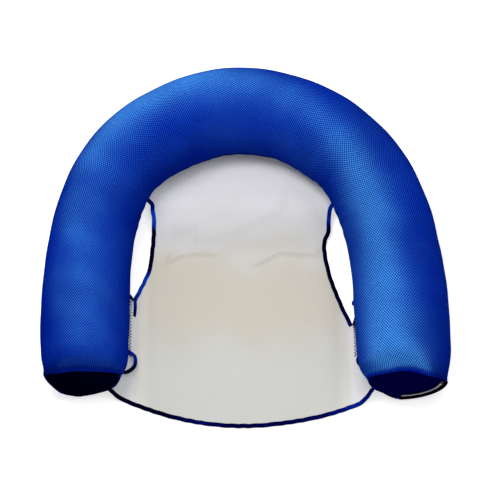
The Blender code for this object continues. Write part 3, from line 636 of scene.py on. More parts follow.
def mesh_fabric(name, shaded, lit_colours, reach, roughness, metallic, depth, end_reach=EVERYWHERE,
                rim_reach=EVERYWHERE, end_shade=(1.0, 1.0), end_light_amounts=(0.0, 0.0), painted_light_left_right=(1.0, 1.0)):
    """Open knitted mesh: raised yarn round small darker holes, in a staggered lattice over the cloth.

    Both colour sets give the holes, the yarn and its crowns, the first in painted shade and the second in
    painted light; a painted light level that follows the way the cloth faces and its place mixes them.
    """
    n = new_material(name)
    uv, place, normal = n.uv(), n.coordinate(), n.coordinate("Normal")
    x, y, _ = n.parts(place)
    u = n.parts(uv)[0]
    from_end = n.math("MINIMUM", u, n.math("SUBTRACT", TUBE_LENGTH, u))
    outwards = n.product(x, n.parts(normal)[0])
    within = n.ramp(outwards, *FLANK_REACH)

    patch = n.product(n.math("SUBTRACT", n.noise(place, *PAINTED_LIGHT_PATCHES), 0.5), PAINTED_LIGHT_PATCHES_SHARE)
    highlight_way = n.vector("NORMALIZE", n.vector("ADD", n.scaled(BAND_TURNS, x), BAND_FACES))
    close = n.math("SUBTRACT", n.vector("DOT_PRODUCT", normal, highlight_way), 1.0)
    painted_highlight = n.math("EXPONENT", n.product(close, BAND_SHARPNESS))
    ahead = n.math("MAXIMUM", y, BAND_FRONT)
    strength = n.total(BAND_STRENGTH[0], n.product(x, BAND_STRENGTH[1]), n.product(ahead, BAND_STRENGTH[2]))
    strength = n.product(strength, n.ramp(from_end, *BAND_NEAR_END))
    # Painted light over the last few centimetres before each end, by the amounts given for the left and right
    # ends, away from the outer flanks
    end_painted_light = n.product(n.ramp(from_end, *END_PAINTED_LIGHT_REACH), n.ramp(x, *LEGS_REACH, *end_light_amounts), within)
    level = n.total(n.vector("DOT_PRODUCT", normal, PAINTED_LIGHT_SLOPE), patch, n.product(x, PAINTED_LIGHT_ACROSS),
                    n.product(outwards, PAINTED_LIGHT_INWARD), PAINTED_LIGHT_LEVEL, n.product(painted_highlight, strength), end_painted_light)
    # Share of painted light, which dies away to painted shade at the very rim of each end
    lit_share = n.product(n.ramp(level, *reach), n.ramp(from_end, *rim_reach))

    away = n.cells(uv, TUBE_PITCH)
    raised = n.ramp(away, *HOLE_REACH)
    hole, yarn, glint = [n.mix(lit_share, dark, light) for dark, light in zip(shaded, lit_colours)]
    knit = n.mix(n.product(n.ramp(away, *CROWN_REACH), CROWN_SHARE), n.mix(raised, hole, yarn), glint)
    # Painted shade over the last few centimetres before each end, deeper at the left end and on the outer
    # flank
    inside = n.ramp(from_end, *end_reach)
    lowest = n.product(n.ramp(x, *LEGS_REACH, *end_shade), n.ramp(within, *FLANK_SHADE))
    near_end = n.total(inside, n.product(lowest, n.math("SUBTRACT", 1.0, inside)))
    below = n.ramp(n.vector("DOT_PRODUCT", normal, UNDERSIDE), *UNDERSIDE_SHADE)
    # The value holds the cloud and grain tone, the painted shade near the ends and underneath, and a painted
    # light that grows from left to right across the float
    value = n.product(n.speckle(place, *CLOTH_CLOUDS), n.speckle(place, *CLOTH_GRAIN), near_end,
                      n.ramp(x, *ENDS_REACH, *painted_light_left_right), below)
    base = n.run("ShaderNodeHueSaturation", {"Value": value, "Color": knit}, "Color")
    return n.shade({"Base Color": base, "Normal": n.bump(away, CLOTH_BUMP, depth), "Metallic": metallic,
                    "Roughness": n.ramp(raised, 0.0, 1.0, min(roughness + HOLES_ROUGHER, 1.0), roughness),
                    "Specular IOR Level": 0.0, "Specular Tint": lit_colours[1]})


# Tapes and threads
TAPE_PATCHES = ((30.0, 3.0), (0.35, 0.65))
TAPE_RIBS_SHARE = 0.45
TAPE_ROUGHNESS = 0.62
TAPE_SHADED_HUE = colour(1.0, 0.05, 1.0)
TAPE_LIT_HUE = colour(1.0, 1.0, 1.0)
THREAD_TWIST = ((900.0, 1.0), (0.3, 0.7))
THREAD_HOLLOWS = 0.6
THREAD_ROUGHNESS = 0.80

# Plastic, metal and beads
PLAIN_CLOUDS = ((40.0, 3.0), (0.3, 0.7))
PLAIN_CLOUDS_SHADE = 0.88
PLAIN_ROUGHNESS_SPREAD = 0.15
PLAIN_GRAIN = (300.0, 3.0)


def tape_fabric(name, dark, light, rib, shade_share):
    """Narrow woven tape with fine ribs, with painted light and painted shade along it; the last argument is
    the share of its brightness in the painted shade.
    """
    n = new_material(name)
    ribs = n.ramp(n.math("SINE", n.product(n.parts(n.uv())[0], 2.0 * math.pi / rib)), -1.0, 1.0)
    patch = n.speckle(n.coordinate(), *TAPE_PATCHES)
    share = n.total(n.product(ribs, TAPE_RIBS_SHARE), n.product(patch, 1.0 - TAPE_RIBS_SHARE))
    # Painted light per point; towards 0 the tape darkens and loses its green, as painted shade
    tape_lit = n.run("ShaderNodeAttribute", {}, "Fac", attribute_name="tape_lit")
    hue = n.mix(tape_lit, TAPE_SHADED_HUE, TAPE_LIT_HUE)
    base = n.scaled(n.vector("MULTIPLY", n.mix(share, dark, light), hue), n.ramp(tape_lit, 0.0, 1.0, shade_share, 1.0))
    return n.shade({"Base Color": base, "Normal": n.bump(ribs, 0.6, 0.0003), "Roughness": TAPE_ROUGHNESS,
                    "Specular IOR Level": 0.0})


def plain(name, shade, roughness, metallic=0.0, shine=0.5):
    """Moulded or metal surface with slight cloudiness and a fine grain."""
    n = new_material(name)
    place = n.coordinate()
    cloud = n.speckle(place, *PLAIN_CLOUDS)
    rougher = min(roughness * (1.0 + PLAIN_ROUGHNESS_SPREAD), 1.0)
    return n.shade({"Base Color": n.mix(cloud, darker(shade, PLAIN_CLOUDS_SHADE), shade),
                    "Normal": n.bump(n.noise(place, *PLAIN_GRAIN), 0.5, 0.0002),
                    "Roughness": n.ramp(cloud, 0.0, 1.0, roughness * (1.0 - PLAIN_ROUGHNESS_SPREAD), rougher),
                    "Metallic": metallic, "Specular IOR Level": shine})


def thread(name, shade):
    """Dull twisted thread."""
    n = new_material(name)
    twist = n.speckle(n.coordinate(), *THREAD_TWIST)
    return n.shade({"Base Color": n.mix(twist, darker(shade, THREAD_HOLLOWS), shade),
                    "Normal": n.bump(twist, 0.6, 0.0002), "Roughness": THREAD_ROUGHNESS,
                    "Specular IOR Level": 0.0})


# Cover cloth: the first colour set is its painted shade, the second its painted light
BLUE = mesh_fabric("blue_mesh_cloth",
                   (colour(0.000, 0.002, 0.125), colour(0.000, 0.019, 0.410), colour(0.006, 0.080, 0.700)),
                   (colour(0.002, 0.037, 0.350), colour(0.037, 0.244, 0.715), colour(0.400, 0.930, 1.000)),
                   (0.46, 1.50), 0.45, 0.02, 0.0007, end_reach=(0.0, 0.034), rim_reach=(0.0, 0.012),
                   end_shade=(0.74, 1.00), end_light_amounts=(0.15, 0.12))
# End panels: the first colour set is their painted shade, the second their painted light, and the right panel
# is painted six times lighter than the left
NAVY = mesh_fabric("navy_mesh_cloth",
                   (colour(0.000, 0.000, 0.003), colour(0.000, 0.000, 0.008), colour(0.000, 0.000, 0.016)),
                   (colour(0.000, 0.000, 0.025), colour(0.000, 0.001, 0.085), colour(0.000, 0.004, 0.140)),
                   (0.95, 1.55), 0.70, 0.0, 0.0004, painted_light_left_right=(1.5, 9.0))
NAVY_TAPE = tape_fabric("navy_tape_cloth", colour(0.000, 0.016, 0.300), colour(0.002, 0.105, 0.900),
                        rib=0.0016, shade_share=0.02)
BLACK_TAPE = tape_fabric("zip_tape_cloth", colour(0.002, 0.002, 0.002), colour(0.007, 0.007, 0.009),
                         rib=0.0012, shade_share=1.0)
END_TAPE = tape_fabric("zip_tape_navy", colour(0.000, 0.000, 0.030), colour(0.000, 0.000, 0.090),
                       rib=0.0012, shade_share=1.0)
COIL = plain("zip_coil_plastic", colour(0.90, 0.90, 0.89), 0.40)
METAL = plain("zip_metal", colour(0.010, 0.010, 0.014), 0.50, metallic=0.15, shine=0.12)
BEADS = plain("bead_foam", colour(0.86, 0.86, 0.85), 0.85)
NAVY_THREAD = thread("navy_thread", colour(0.003, 0.010, 0.120))
BLACK_THREAD = thread("black_thread", colour(0.004, 0.004, 0.010))

# Seat cloth: tints from the middle to the edges, and the reach of each along or across the float; the flanks'
# and edges' tints are painted light against the shade that the tube casts beside its seams
SEAT_SAT_ON = colour(0.68, 0.64, 0.54)
SEAT_BEHIND = (colour(0.73, 0.725, 0.715), (-0.055, 0.045))
SEAT_SLOPE = (colour(0.81, 0.81, 0.83), (0.03, 0.15))
SEAT_FRONT = (colour(0.70, 0.70, 0.66), (-0.14, -0.30))
SEAT_FLANKS_PAINTED_LIGHT = (colour(0.86, 0.835, 0.76), (0.208, 0.240))
SEAT_EDGES_PAINTED_LIGHT = colour(0.94, 0.94, 0.95)
SEAT_STRIPS_REACH = (0.236, 0.252)
SEAT_ARC_REACH = (0.205, 0.250)
SEAT_BACK_REACH = (0.02, 0.08)
SEAT_CLOUDS = (4.5, 2.5)
SEAT_CLOUDS_SHIFT = 0.24
SEAT_FOLD_SHADE_TURN = math.radians(-27.0)
SEAT_FOLD_SHADE_SCALE = (3.0, 11.0, 1.0)
SEAT_FOLD_SHADE = ((1.0, 1.5), (0.35, 0.65, 0.955, 1.03))
SEAT_FOLD_SHADE_REACH = (-0.06, 0.02)
SEAT_HOLE_REACH = (0.16, 0.36)
SEAT_HOLE_SHADE = (0.75, 0.75, 0.75)


def seat_fabric():
    """Fine off-white mesh, cooler on the slope at the back, warmer where it has been sat on, and painted
    lighter beside the tube's seams against the tube's shade.
    """
    n = new_material("seat_mesh_cloth")
    place = n.coordinate()
    x, y, _ = n.parts(place)
    beyond = n.math("ABSOLUTE", x)
    shift = n.product(n.math("SUBTRACT", n.noise(place, *SEAT_CLOUDS), 0.5), SEAT_CLOUDS_SHIFT)
    wandering = n.total(y, shift)
    yarn = SEAT_SAT_ON
    for (tint, reach), where in ((SEAT_BEHIND, wandering), (SEAT_SLOPE, wandering), (SEAT_FRONT, wandering),
                                 (SEAT_FLANKS_PAINTED_LIGHT, beyond)):
        yarn = n.mix(n.ramp(where, *reach), yarn, tint)
    # Painted light by the arc's seam and on the legs' strips, where the tube shades the cloth
    level_place = n.vector("MULTIPLY", n.vector("SUBTRACT", place, tuple(ARC_CENTRE)), (1.0, 1.0, 0.0))
    from_middle = n.vector("LENGTH", level_place)
    back = n.product(n.ramp(from_middle, *SEAT_ARC_REACH), n.ramp(y, *SEAT_BACK_REACH))
    yarn = n.mix(n.math("MAXIMUM", n.ramp(beyond, *SEAT_STRIPS_REACH), back), yarn, SEAT_EDGES_PAINTED_LIGHT)
    away = n.cells(n.uv(), SEAT_PITCH)
    knit = n.mix(n.ramp(away, *SEAT_HOLE_REACH), n.vector("MULTIPLY", yarn, SEAT_HOLE_SHADE), yarn)
    # Painted light and shade of soft diagonal folds over the upper seat, from stretched noise
    turned = {"Vector": place, "Rotation": (0.0, 0.0, SEAT_FOLD_SHADE_TURN), "Scale": SEAT_FOLD_SHADE_SCALE}
    painted_fold_shade = n.speckle(n.run("ShaderNodeMapping", turned), *SEAT_FOLD_SHADE)
    upper = n.product(n.ramp(y, *SEAT_FOLD_SHADE_REACH), n.math("SUBTRACT", painted_fold_shade, 1.0))
    return n.shade({"Base Color": n.scaled(knit, n.total(1.0, upper)), "Normal": n.bump(away, 0.7, 0.0005),
                    "Roughness": 0.75, "Sheen Weight": 0.10})


SEAT = seat_fabric()

# Cover panels


def end_biased(steps):
    """Places along the tube, closer together near both ends."""
    t = np.linspace(0.0, 1.0, steps + 1)
    return TUBE_LENGTH * (t - END_CROWDING * np.sin(2.0 * math.pi * t))


def panel(name, node, seams, steps):
    """A cover panel between its two seams, with the allowances turned in and both ends turned over."""
    start, stop = seams
    even = np.linspace(0.0, 1.0, steps + 1)
    eased = even - COLUMN_CROWDING * np.sin(2.0 * math.pi * even) / math.pi
    gap = PANEL_GAP / TUBE_RADIUS
    angles = start + gap + (stop - start - 2.0 * gap) * eased
    places = end_biased(ALONG_STEPS)
    held = SEAM_TUCK_SHORT + places * (1.0 - 2.0 * SEAM_TUCK_SHORT / TUBE_LENGTH)
    tucked = [[skin(held, angle, inset) for inset in (SEAM_TUCK, SEAM_TUCK / 3)]
              for angle in (angles[:1], angles[-1:])]
    rows = turned_ends(np.concatenate(tucked[0] + [skin(places, angles)] + tucked[1][::-1], axis=1))
    count, columns = rows.shape[:2]
    s = np.concatenate(([places[0]] * 2, places, [places[-1]] * 2))
    around = np.concatenate(([angles[0]] * 2, angles, [angles[-1]] * 2)) * TUBE_RADIUS
    uvs = np.stack(np.broadcast_arrays(s[:, None], around[None, :]), axis=-1).reshape(-1, 2)
    piece = mesh_piece(name, rows.reshape(-1, 3), grid_faces(count, columns), BLUE, uvs)
    turn_to(piece, lambda p: p - nearest_centre(p))
    thicken(piece, CLOTH)
    attach(piece, node)


def turned_ends(rows):
    """Adds the cover's turned-over edge at both ends of the tube."""
    edges = []
    for index, s in ((0, 0.0), (-1, TUBE_LENGTH)):
        centre, inward, up, axis = line_at(s)
        rim = rows[index]
        toward = unit(centre - rim)
        angle = np.arctan2((rim - centre) @ up, (rim - centre) @ inward)
        low = lowness(angle)[:, None]
        window = (zip_window(angle) if index else np.zeros_like(angle))[:, None]
        curl = END_CURL * (1.0 - END_CURL_LOST_LOW * low) * (1.0 - window)
        sunk = (end_shape(s, angle)[0][:, None] + EDGE_SUNK_AT_ZIP) * window
        turn = toward * (EDGE_TURN - EDGE_TURN_LOST_LOW * low)
        depth = toward * (EDGE_DEPTH - EDGE_DEPTH_LOST_AT_ZIP * window)
        first = rim + axis * (curl - END_SETBACK) + turn
        second = rim + axis * (curl * END_CURL_INNER - END_SETBACK - sunk) + depth
        edges.append((first[None], second[None]))
    (left, left_inner), (right, right_inner) = edges
    return np.concatenate((left_inner, left, rows, right, right_inner))


def nearest_centre(p):
    """The tube's centre nearest to a point."""
    x, y = p[0], p[1] - ARC_CENTRE[1]
    if y > 0:
        reach = ARC_RADIUS / max(math.hypot(x, y), 1e-9)
        return np.array((x * reach, y * reach + ARC_CENTRE[1], ARC_CENTRE[2]))
    return leg_line(1.0 if x > 0 else -1.0, min(-y, LEG_LENGTH))[0]

# Ends and filling


def end_disc(name, node, s):
    """Round panel that closes a leg: it bulges a little, and its edge is drawn in at the seam."""
    centre, inward, up, axis = line_at(s)
    angles = np.linspace(0.0, 2.0 * math.pi, DISC_POINTS, endpoint=False)
    window = zip_window(angles) if s > 0 else np.zeros_like(angles)
    rim = skin([s], angles)[0]
    hub = centre + axis * float(((rim - centre) @ axis).mean()) - up * DISC_DROP
    toward = unit(hub - rim)
    sunk = window * (end_shape(s, angles)[0] + DISC_SUNK_AT_ZIP)
    seam = rim + toward * (DISC_INSET - DISC_INSET_LOST_LOW * lowness(angles) * (1.0 - window))[:, None]
    seam = seam + axis * (DISC_FORWARD * (1.0 - window) - sunk)[:, None]
    middle = centre + axis * float(((seam - centre) @ axis).mean()) - up * DISC_DROP
    rings = [seam - axis * DISC_TUCK, seam - axis * DISC_FIRST_TUCK + toward * DISC_TUCK_NARROWER]
    orders = np.abs(np.fft.fftfreq(DISC_POINTS, 1.0 / DISC_POINTS))[:, None]
    for share in np.arange(DISC_RINGS) / DISC_RINGS:
        soften = np.exp(-0.5 * (np.maximum(orders - 1.0, 0.0) * DISC_SMOOTHING * share) ** 2)
        round_seam = np.fft.ifft(np.fft.fft(seam - middle, axis=0) * soften, axis=0).real
        flat = DISC_FLAT_AT_ZIP * window
        free = np.clip((share - flat) / (1.0 - flat), 0.0, 1.0)
        lift = DISC_BULGE * (1.0 - (1.0 - free) ** 2)
        ripple = DISC_RIPPLE * np.sin(11.0 * angles + 2.0 * np.sin(3.0 * angles))
        ripple = ripple * math.exp(-share / DISC_RIPPLE_REACH) * (1.0 - window)
        rings.append(middle + round_seam * (1.0 - share) + axis * (lift + ripple)[:, None])
    points = np.concatenate(rings + [(middle + axis * DISC_BULGE)[None]])
    faces = grid_faces(len(rings), DISC_POINTS, closed=True)
    tip = len(points) - 1
    last = tip - DISC_POINTS
    faces += [(last + k, last + (k + 1) % DISC_POINTS, tip) for k in range(DISC_POINTS)]
    uvs = np.stack((points @ inward, points @ up), axis=-1)
    piece = mesh_piece(name, points, faces, NAVY, uvs)
    turn_to(piece, lambda p: axis)
    thicken(piece, CLOTH)
    return attach(piece, node)


def bead_filling():
    """The beads inside the cover, as one smooth body with hollowed ends."""
    places = np.linspace(FILL_FROM_END, TUBE_LENGTH - FILL_FROM_END, 150)
    rows = skin(places, np.linspace(0.0, 2.0 * math.pi, 48, endpoint=False), FILL_INSET)
    ends = []
    for row, s in ((rows[0], places[0]), (rows[-1], places[-1])):
        centre, axis = line_at(s)[0], line_at(s)[3]
        middle = centre + axis * float(((row - centre) @ axis).mean() - FILL_END_HOLLOW)
        ends.append([row + (middle - row) * share for share in FILL_END_SHARES])
    points, faces = loft(ends[0][::-1] + list(rows) + ends[1])
    piece = attach(outward(mesh_piece("bead_filling", points, faces, BEADS)), "bead_fill")


# Seat


def seam_point(s, away, lower=0.0):
    """A point this far out from the tube at its inner seam; a negative distance lies inside."""
    centre, inward, up, _ = line_at(s)
    reach = float(tube_radius(s)) + away
    angle = SEAM_INNER - lower
    return centre + inward * (reach * math.cos(angle)) + up * (reach * math.sin(angle))


def leg_s(side, place):
    """Distance along the whole tube of a place on a leg."""
    return LEG_LENGTH - place if side < 0 else LEG_LENGTH + ARC_LENGTH + place


def seat_height(x, y, sewn):
    """The seat slopes from its sewn edge to a curved fold, and lies on the floor in front of it."""
    ahead = y - ARC_CENTRE[1]
    seam = np.interp(x, sewn[:, 0], sewn[:, 1]) - ARC_CENTRE[1]
    top = np.interp(x, sewn[:, 0], sewn[:, 2])
    fold = LIP_RADIUS - FOLD_REACH - FOLD_BEND * (x / LIP_RADIUS) ** 4
    left_over = np.clip((ahead - fold) / np.maximum(seam - fold, 0.0003), 0.0, 1.0)
    return SHEET_HEIGHT + (top - SHEET_HEIGHT) * left_over ** DRAPE_POWER


def floor_line(side, place, share):
    """Where the steep strip beside a leg meets the floor, this share of the way along the strip."""
    near = abs(1.0 - 2.0 * share)
    if share < 0.5:
        end_width, drift = STRIP_WIDTH_START, (CORNER_DRIFT_RIGHT if side > 0 else 0.0) * near
    else:
        end_width, drift = STRIP_WIDTH_END, HEM_DRIFT * near ** 2
    width = STRIP_WIDTH_MIDDLE + (end_width - STRIP_WIDTH_MIDDLE) * near ** 2
    out = np.array((side * math.sin(LEG_SPLAY), -math.cos(LEG_SPLAY), 0.0))
    p = seam_point(leg_s(side, place), LIP) + leg_line(side, place)[1] * width + out * drift
    return np.array((p[0], p[1], SHEET_HEIGHT))


class SeatSurface:
    """Grid of the sling: rows from the arc's seam to the hem, columns from left to right."""

    def __init__(self):
        self.tab_places = {}
        self.feet = {}
        shares = np.linspace(0.0, 1.0, TAB_ROWS + 1)
        for side, first in ((-1, TAB_START_LEFT), (1, TAB_START_RIGHT)):
            places = first + (LEG_LENGTH - TAB_END_MARGIN - first) * shares
            self.tab_places[side] = places
            self.feet[side] = np.array([floor_line(side, p, t) for p, t in zip(places, shares)])
        self.feet[1][:, 1] -= HEM_DIP_RIGHT * smoothstep((shares - HEM_DIP_START) / (1.0 - HEM_DIP_START))
        across = np.linspace(0.0, 1.0, SEAT_COLUMNS + 1)
        opening = ARC_RADIUS * SIDE_OPENING_TURN
        self.seam_places = LEG_LENGTH + opening + (ARC_LENGTH - 2.0 * opening) * across
        back = np.array([seam_point(s, LIP) for s in self.seam_places])
        left = self.side(back[0], self.feet[-1], -SIDE_BOW_LEFT, LEFT_EDGE_SHARES)
        right = self.side(back[-1], self.feet[1], SIDE_BOW_RIGHT, RIGHT_EDGE_SHARES)
        downs = distances(left) + distances(right)
        downs = downs / downs[-1]
        hem = self.hem(left[-1], right[-1], across)
        corners_top = back[0] + (back[-1] - back[0]) * across[:, None]
        corners_low = left[-1] + (right[-1] - left[-1]) * across[:, None]
        grid = left[:, None] + (right - left)[:, None] * across[:, None]
        down = downs[:, None, None]
        grid = grid + (back - corners_top) * (1.0 - down) + (hem - corners_low) * down
        grid[..., 2] = seat_height(grid[..., 0], grid[..., 1], back)
        grid[0] = back
        calm = smoothstep(np.minimum(across, 1.0 - across) / SLACK_EASE)
        calm = calm * smoothstep(downs / SLACK_EASE)[:, None]
        grid[..., 2] += calm * self.slack(grid[..., 0], grid[..., 1])
        self.grid = grid

    def side(self, start, feet, bow, shares):
        """The free edge beside an opening and then the floor line of the strip, on the floor."""
        t = np.arange(SIDE_ROWS)[:, None] / SIDE_ROWS
        edge = start + (feet[0] - start) * t
        edge[:, 0] -= bow * smooth_between(shares, t[:, 0])
        line = np.concatenate((edge, feet))
        line[:, 2] = 0.0
        return line

    def hem(self, left_end, right_end, across):
        p = left_end + (right_end - left_end) * across[:, None]
        bow = HEM_SAG * ((p[:, 0] / HEM_SAG_WIDTH) ** 2 - (left_end[0] / HEM_SAG_WIDTH) ** 2)
        dip = across - smoothstep((across - HEM_SWING_START) / (1.0 - HEM_SWING_START))
        p[:, 1] += bow + HEM_DIP_RIGHT * dip
        return p

    def slack(self, x, y):
        """Height of the soft waves and folds of the slack cloth."""
        lift = SLACK_HEIGHT * (0.5 + 0.5 * waves(x, y, 0.0, *SLACK))
        for places, height, width in SEAT_FOLDS:
            xs, ys = np.array(places).T
            ends = smoothstep((x - xs[0]) / FOLD_START) * smoothstep((xs[-1] - x) / FOLD_STOP)
            slope = np.interp(x, (xs[1:] + xs[:-1]) / 2, np.diff(ys) / np.diff(xs))
            away = (y - np.interp(x, xs, ys)) / np.sqrt(1.0 + slope ** 2) / width
            away = np.where(away > 0.0, away / FOLD_BACK_SLOPE, away)
            lift = lift + height * ends * np.exp(-away ** 2)
        return lift


def strip_lines(seat, side):
    """Rows of the steep strip from the floor line up to a leg's seam, and on into it."""
    rows = []
    for k, place in enumerate(seat.tab_places[side]):
        share = k / TAB_ROWS
        early = max(1.0 - share / TAB_BACK_REACH, 0.0) ** 2
        late = float(smoothstep((share - HEM_TURN_START) / (1.0 - HEM_TURN_START)))
        s = leg_s(side, place - TAB_BACK * early + HEM_RUN * late)
        wrap = HEM_WRAP * late if side < 0 else 0.0
        foot = seat.grid[SIDE_ROWS + k, 0 if side < 0 else -1]
        top = seam_point(s, LIP, wrap)
        along = np.arange(1, STRIP_COLUMNS + 1)[:, None] / STRIP_COLUMNS
        line = foot + (top - foot) * along
        line[:, 2] = foot[2] + (top[2] - foot[2]) * along[:, 0] ** (1.0 + STRIP_HOLLOW * share)
        tucked = [seam_point(s, -SEAT_TUCK_START, wrap), seam_point(s, -SEAT_TUCK, wrap)]
        line = np.concatenate((line, tucked))
        rise = HEM_RISE_LEFT if side < 0 else HEM_RISE_RIGHT
        line[:, 1] += rise * late * (np.arange(1, len(line) + 1) / STRIP_COLUMNS) ** 2
        rows.append(line)
    return np.array(rows)


def build_seat():
    """The sling as one cloth: main panel, both strips and the edges inside the seams."""
    seat = SeatSurface()
    tuck = [[seam_point(s, away) for s in seat.seam_places] for away in (-SEAT_TUCK, -SEAT_TUCK_START)]
    main = np.concatenate((np.array(tuck), seat.grid))
    rows, columns = main.shape[:2]
    steps = np.linalg.norm(np.diff(main[:, :, 1:], axis=0), axis=2)
    down = np.concatenate((np.cumsum(steps[::-1], axis=0)[::-1], np.zeros((1, columns))))
    over = np.stack((main[..., 0], main[-1, :, 1] + down), axis=-1)
    points, uvs, faces = [main.reshape(-1, 3)], [over.reshape(-1, 2)], grid_faces(rows, columns)
    offset = rows * columns
    first_foot = rows - TAB_ROWS - 1
    strips = {}
    for side, column in ((-1, 0), (1, columns - 1)):
        strip = strip_lines(seat, side)
        strips[side] = strip
        width = strip.shape[1]
        feet = main[first_foot:, column][:, None]
        steps = np.linalg.norm(np.diff(np.concatenate((feet, strip), axis=1), axis=1), axis=2)
        start = over[first_foot:, column][:, None]
        beside = np.broadcast_arrays(start[..., 0] + side * np.cumsum(steps, axis=1), start[..., 1])
        points.append(strip.reshape(-1, 3))
        uvs.append(np.stack(beside, axis=-1).reshape(-1, 2))
        faces += grid_faces(TAB_ROWS + 1, width, start=offset)
        for k in range(TAB_ROWS):
            edge = (first_foot + k) * columns + column
            faces.append((edge, offset + k * width, offset + (k + 1) * width, edge + columns))
        offset += strip.shape[0] * width
    piece = outward(mesh_piece("seat_sling", np.concatenate(points), faces, SEAT, np.concatenate(uvs)))
    turn_to(piece, lambda p: UP)
    thicken(piece, SEAT_CLOTH, 0.0)
    return attach(piece, "seat_panel"), seat, strips


# Bindings, loops and the tail

TAPE = 0.0008
TAPE_OFF_CLOTH = 0.0002
BIND_COVER = 0.0080
BIND_NOSE = 0.0018
BIND_STITCH_INSET = 0.0062
BIND_SWELL = 0.08
BIND_SWELL_PITCH = 0.0075
BIND_WANDER = 0.0004
BIND_WANDER_PITCH = 0.031
BIND_WANDER_PHASE = (1.3, 0.11)
# Turns of the side bindings about their own line, and how much painted light each tape gets, from painted
# shade at 0 to painted light at 1, at shares of its length
LEFT_TWIST = ((0.0, 0.0), (0.06, -0.4), (0.12, -0.1), (0.20, -0.6), (0.27, -0.2), (0.40, -0.1), (0.60, -0.1),
              (0.74, -0.3), (0.85, -0.5), (1.0, -0.1))
RIGHT_TWIST = ((0.0, 0.0), (0.05, -0.4), (0.12, -0.6), (0.20, -0.3), (0.40, -0.1), (1.0, 0.0))
LEFT_LIT = ((0.0, 0.30), (0.12, 0.50), (0.18, 0.95), (0.27, 0.90), (0.32, 0.15), (0.45, 0.05), (0.66, 0.10),
             (0.74, 0.50), (0.81, 1.0), (0.92, 0.75), (1.0, 0.45))
RIGHT_LIT = ((0.0, 0.45), (0.08, 0.65), (0.15, 0.55), (0.21, 0.12), (0.50, 0.02), (0.80, 0.05), (0.93, 0.15),
              (1.0, 0.25))
HEM_LIT = ((0.0, 0.02), (0.18, 0.02), (0.26, 0.10), (0.33, 0.22), (0.41, 0.20), (0.50, 0.17), (0.65, 0.17),
            (0.80, 0.26), (0.90, 0.45), (0.95, 0.36), (1.0, 0.20))
TAB_LIT = ((0.0, 0.10), (1.0, 0.25))
TAIL_LIT = ((0.0, 0.45), (0.5, 0.30), (1.0, 0.10))
LEFT_LOOP_LIT = ((0.0, 0.30), (0.30, 0.50), (0.48, 0.30), (0.60, 0.08), (0.70, 0.0), (1.0, 0.0))
RIGHT_LOOP_LIT = ((0.0, 0.02), (1.0, 0.02))
END_LIT = ((0.0, 0.40), (1.0, 0.40))


def tape(name, node, frames, outlines, along, lit_shares):
    """A tape along frames, with its ribs across its length and its painted light and shade along it."""
    points, faces = sweep(frames, outlines)
    size = len(outlines[0])
    uvs = [(a, 0.001 * j) for a in along for j in range(size)]
    piece = outward(mesh_piece(name, points, faces, NAVY_TAPE, uvs))
    give_tape_lit(piece, np.repeat(smooth_between(lit_shares, along / along[-1]), size))
    return attach(piece, node)


def binding_outline(swell):
    """Rounded section of a tape folded over an edge; the cloth's edge lies at zero, outward is positive."""
    half = SEAT_CLOTH / 2 + TAPE_OFF_CLOTH
    out = half + TAPE
    far, near = -BIND_COVER * 0.7, -BIND_COVER * 0.2
    return [(-BIND_COVER, half * 0.9), (-BIND_COVER, out * 0.85), (far, out * swell), (near, out * swell),
            (BIND_NOSE * 0.6, out * 0.8), (BIND_NOSE, out * 0.35), (BIND_NOSE, -out * 0.35),
            (BIND_NOSE * 0.6, -out * 0.8), (near, -out), (far, -out), (-BIND_COVER, -out * 0.85),
            (-BIND_COVER, -half * 0.9)]


def edge_frames(edge, inner):
    """Frames along an edge: the point, the way out of the cloth and the way up off it."""
    frames = []
    for k, here in enumerate(edge):
        ahead = heading(edge, k)
        outward_way = here - inner[k]
        outward_way = unit(outward_way - ahead * (outward_way @ ahead))
        up = unit(np.cross(ahead, outward_way))
        frames.append((here, outward_way, -up if up[2] < 0 else up))
    return frames


def binding(name, node, edge, inner, lit_shares, twist=None):
    """A binding along an edge, turned about its own line by a twist, and the stitches that hold it."""
    along = distances(edge)
    phase, phase_pitch = BIND_WANDER_PHASE
    frames, outlines = [], []
    for (here, side, up), place in zip(edge_frames(edge, inner), along):
        turn = float(smooth_between(twist, place / along[-1])) if twist else 0.0
        wave = 2.0 * math.pi * place
        wander = BIND_WANDER * math.sin(wave / BIND_WANDER_PITCH + phase * math.sin(wave / phase_pitch))
        cos, sin = math.cos(turn), math.sin(turn)
        frames.append((here + side * wander, side * cos + up * sin, up * cos - side * sin))
        outlines.append(binding_outline(1.0 + BIND_SWELL * math.sin(wave / BIND_SWELL_PITCH)))
    piece = tape(name, node, frames, outlines, along, lit_shares)
    rise = SEAT_CLOTH / 2 + TAPE_OFF_CLOTH + TAPE
    row = [here - side * BIND_STITCH_INSET + up * rise for here, side, up in frames]
    return [piece, stitching(name + "_stitches", row, [up for _, _, up in frames])]


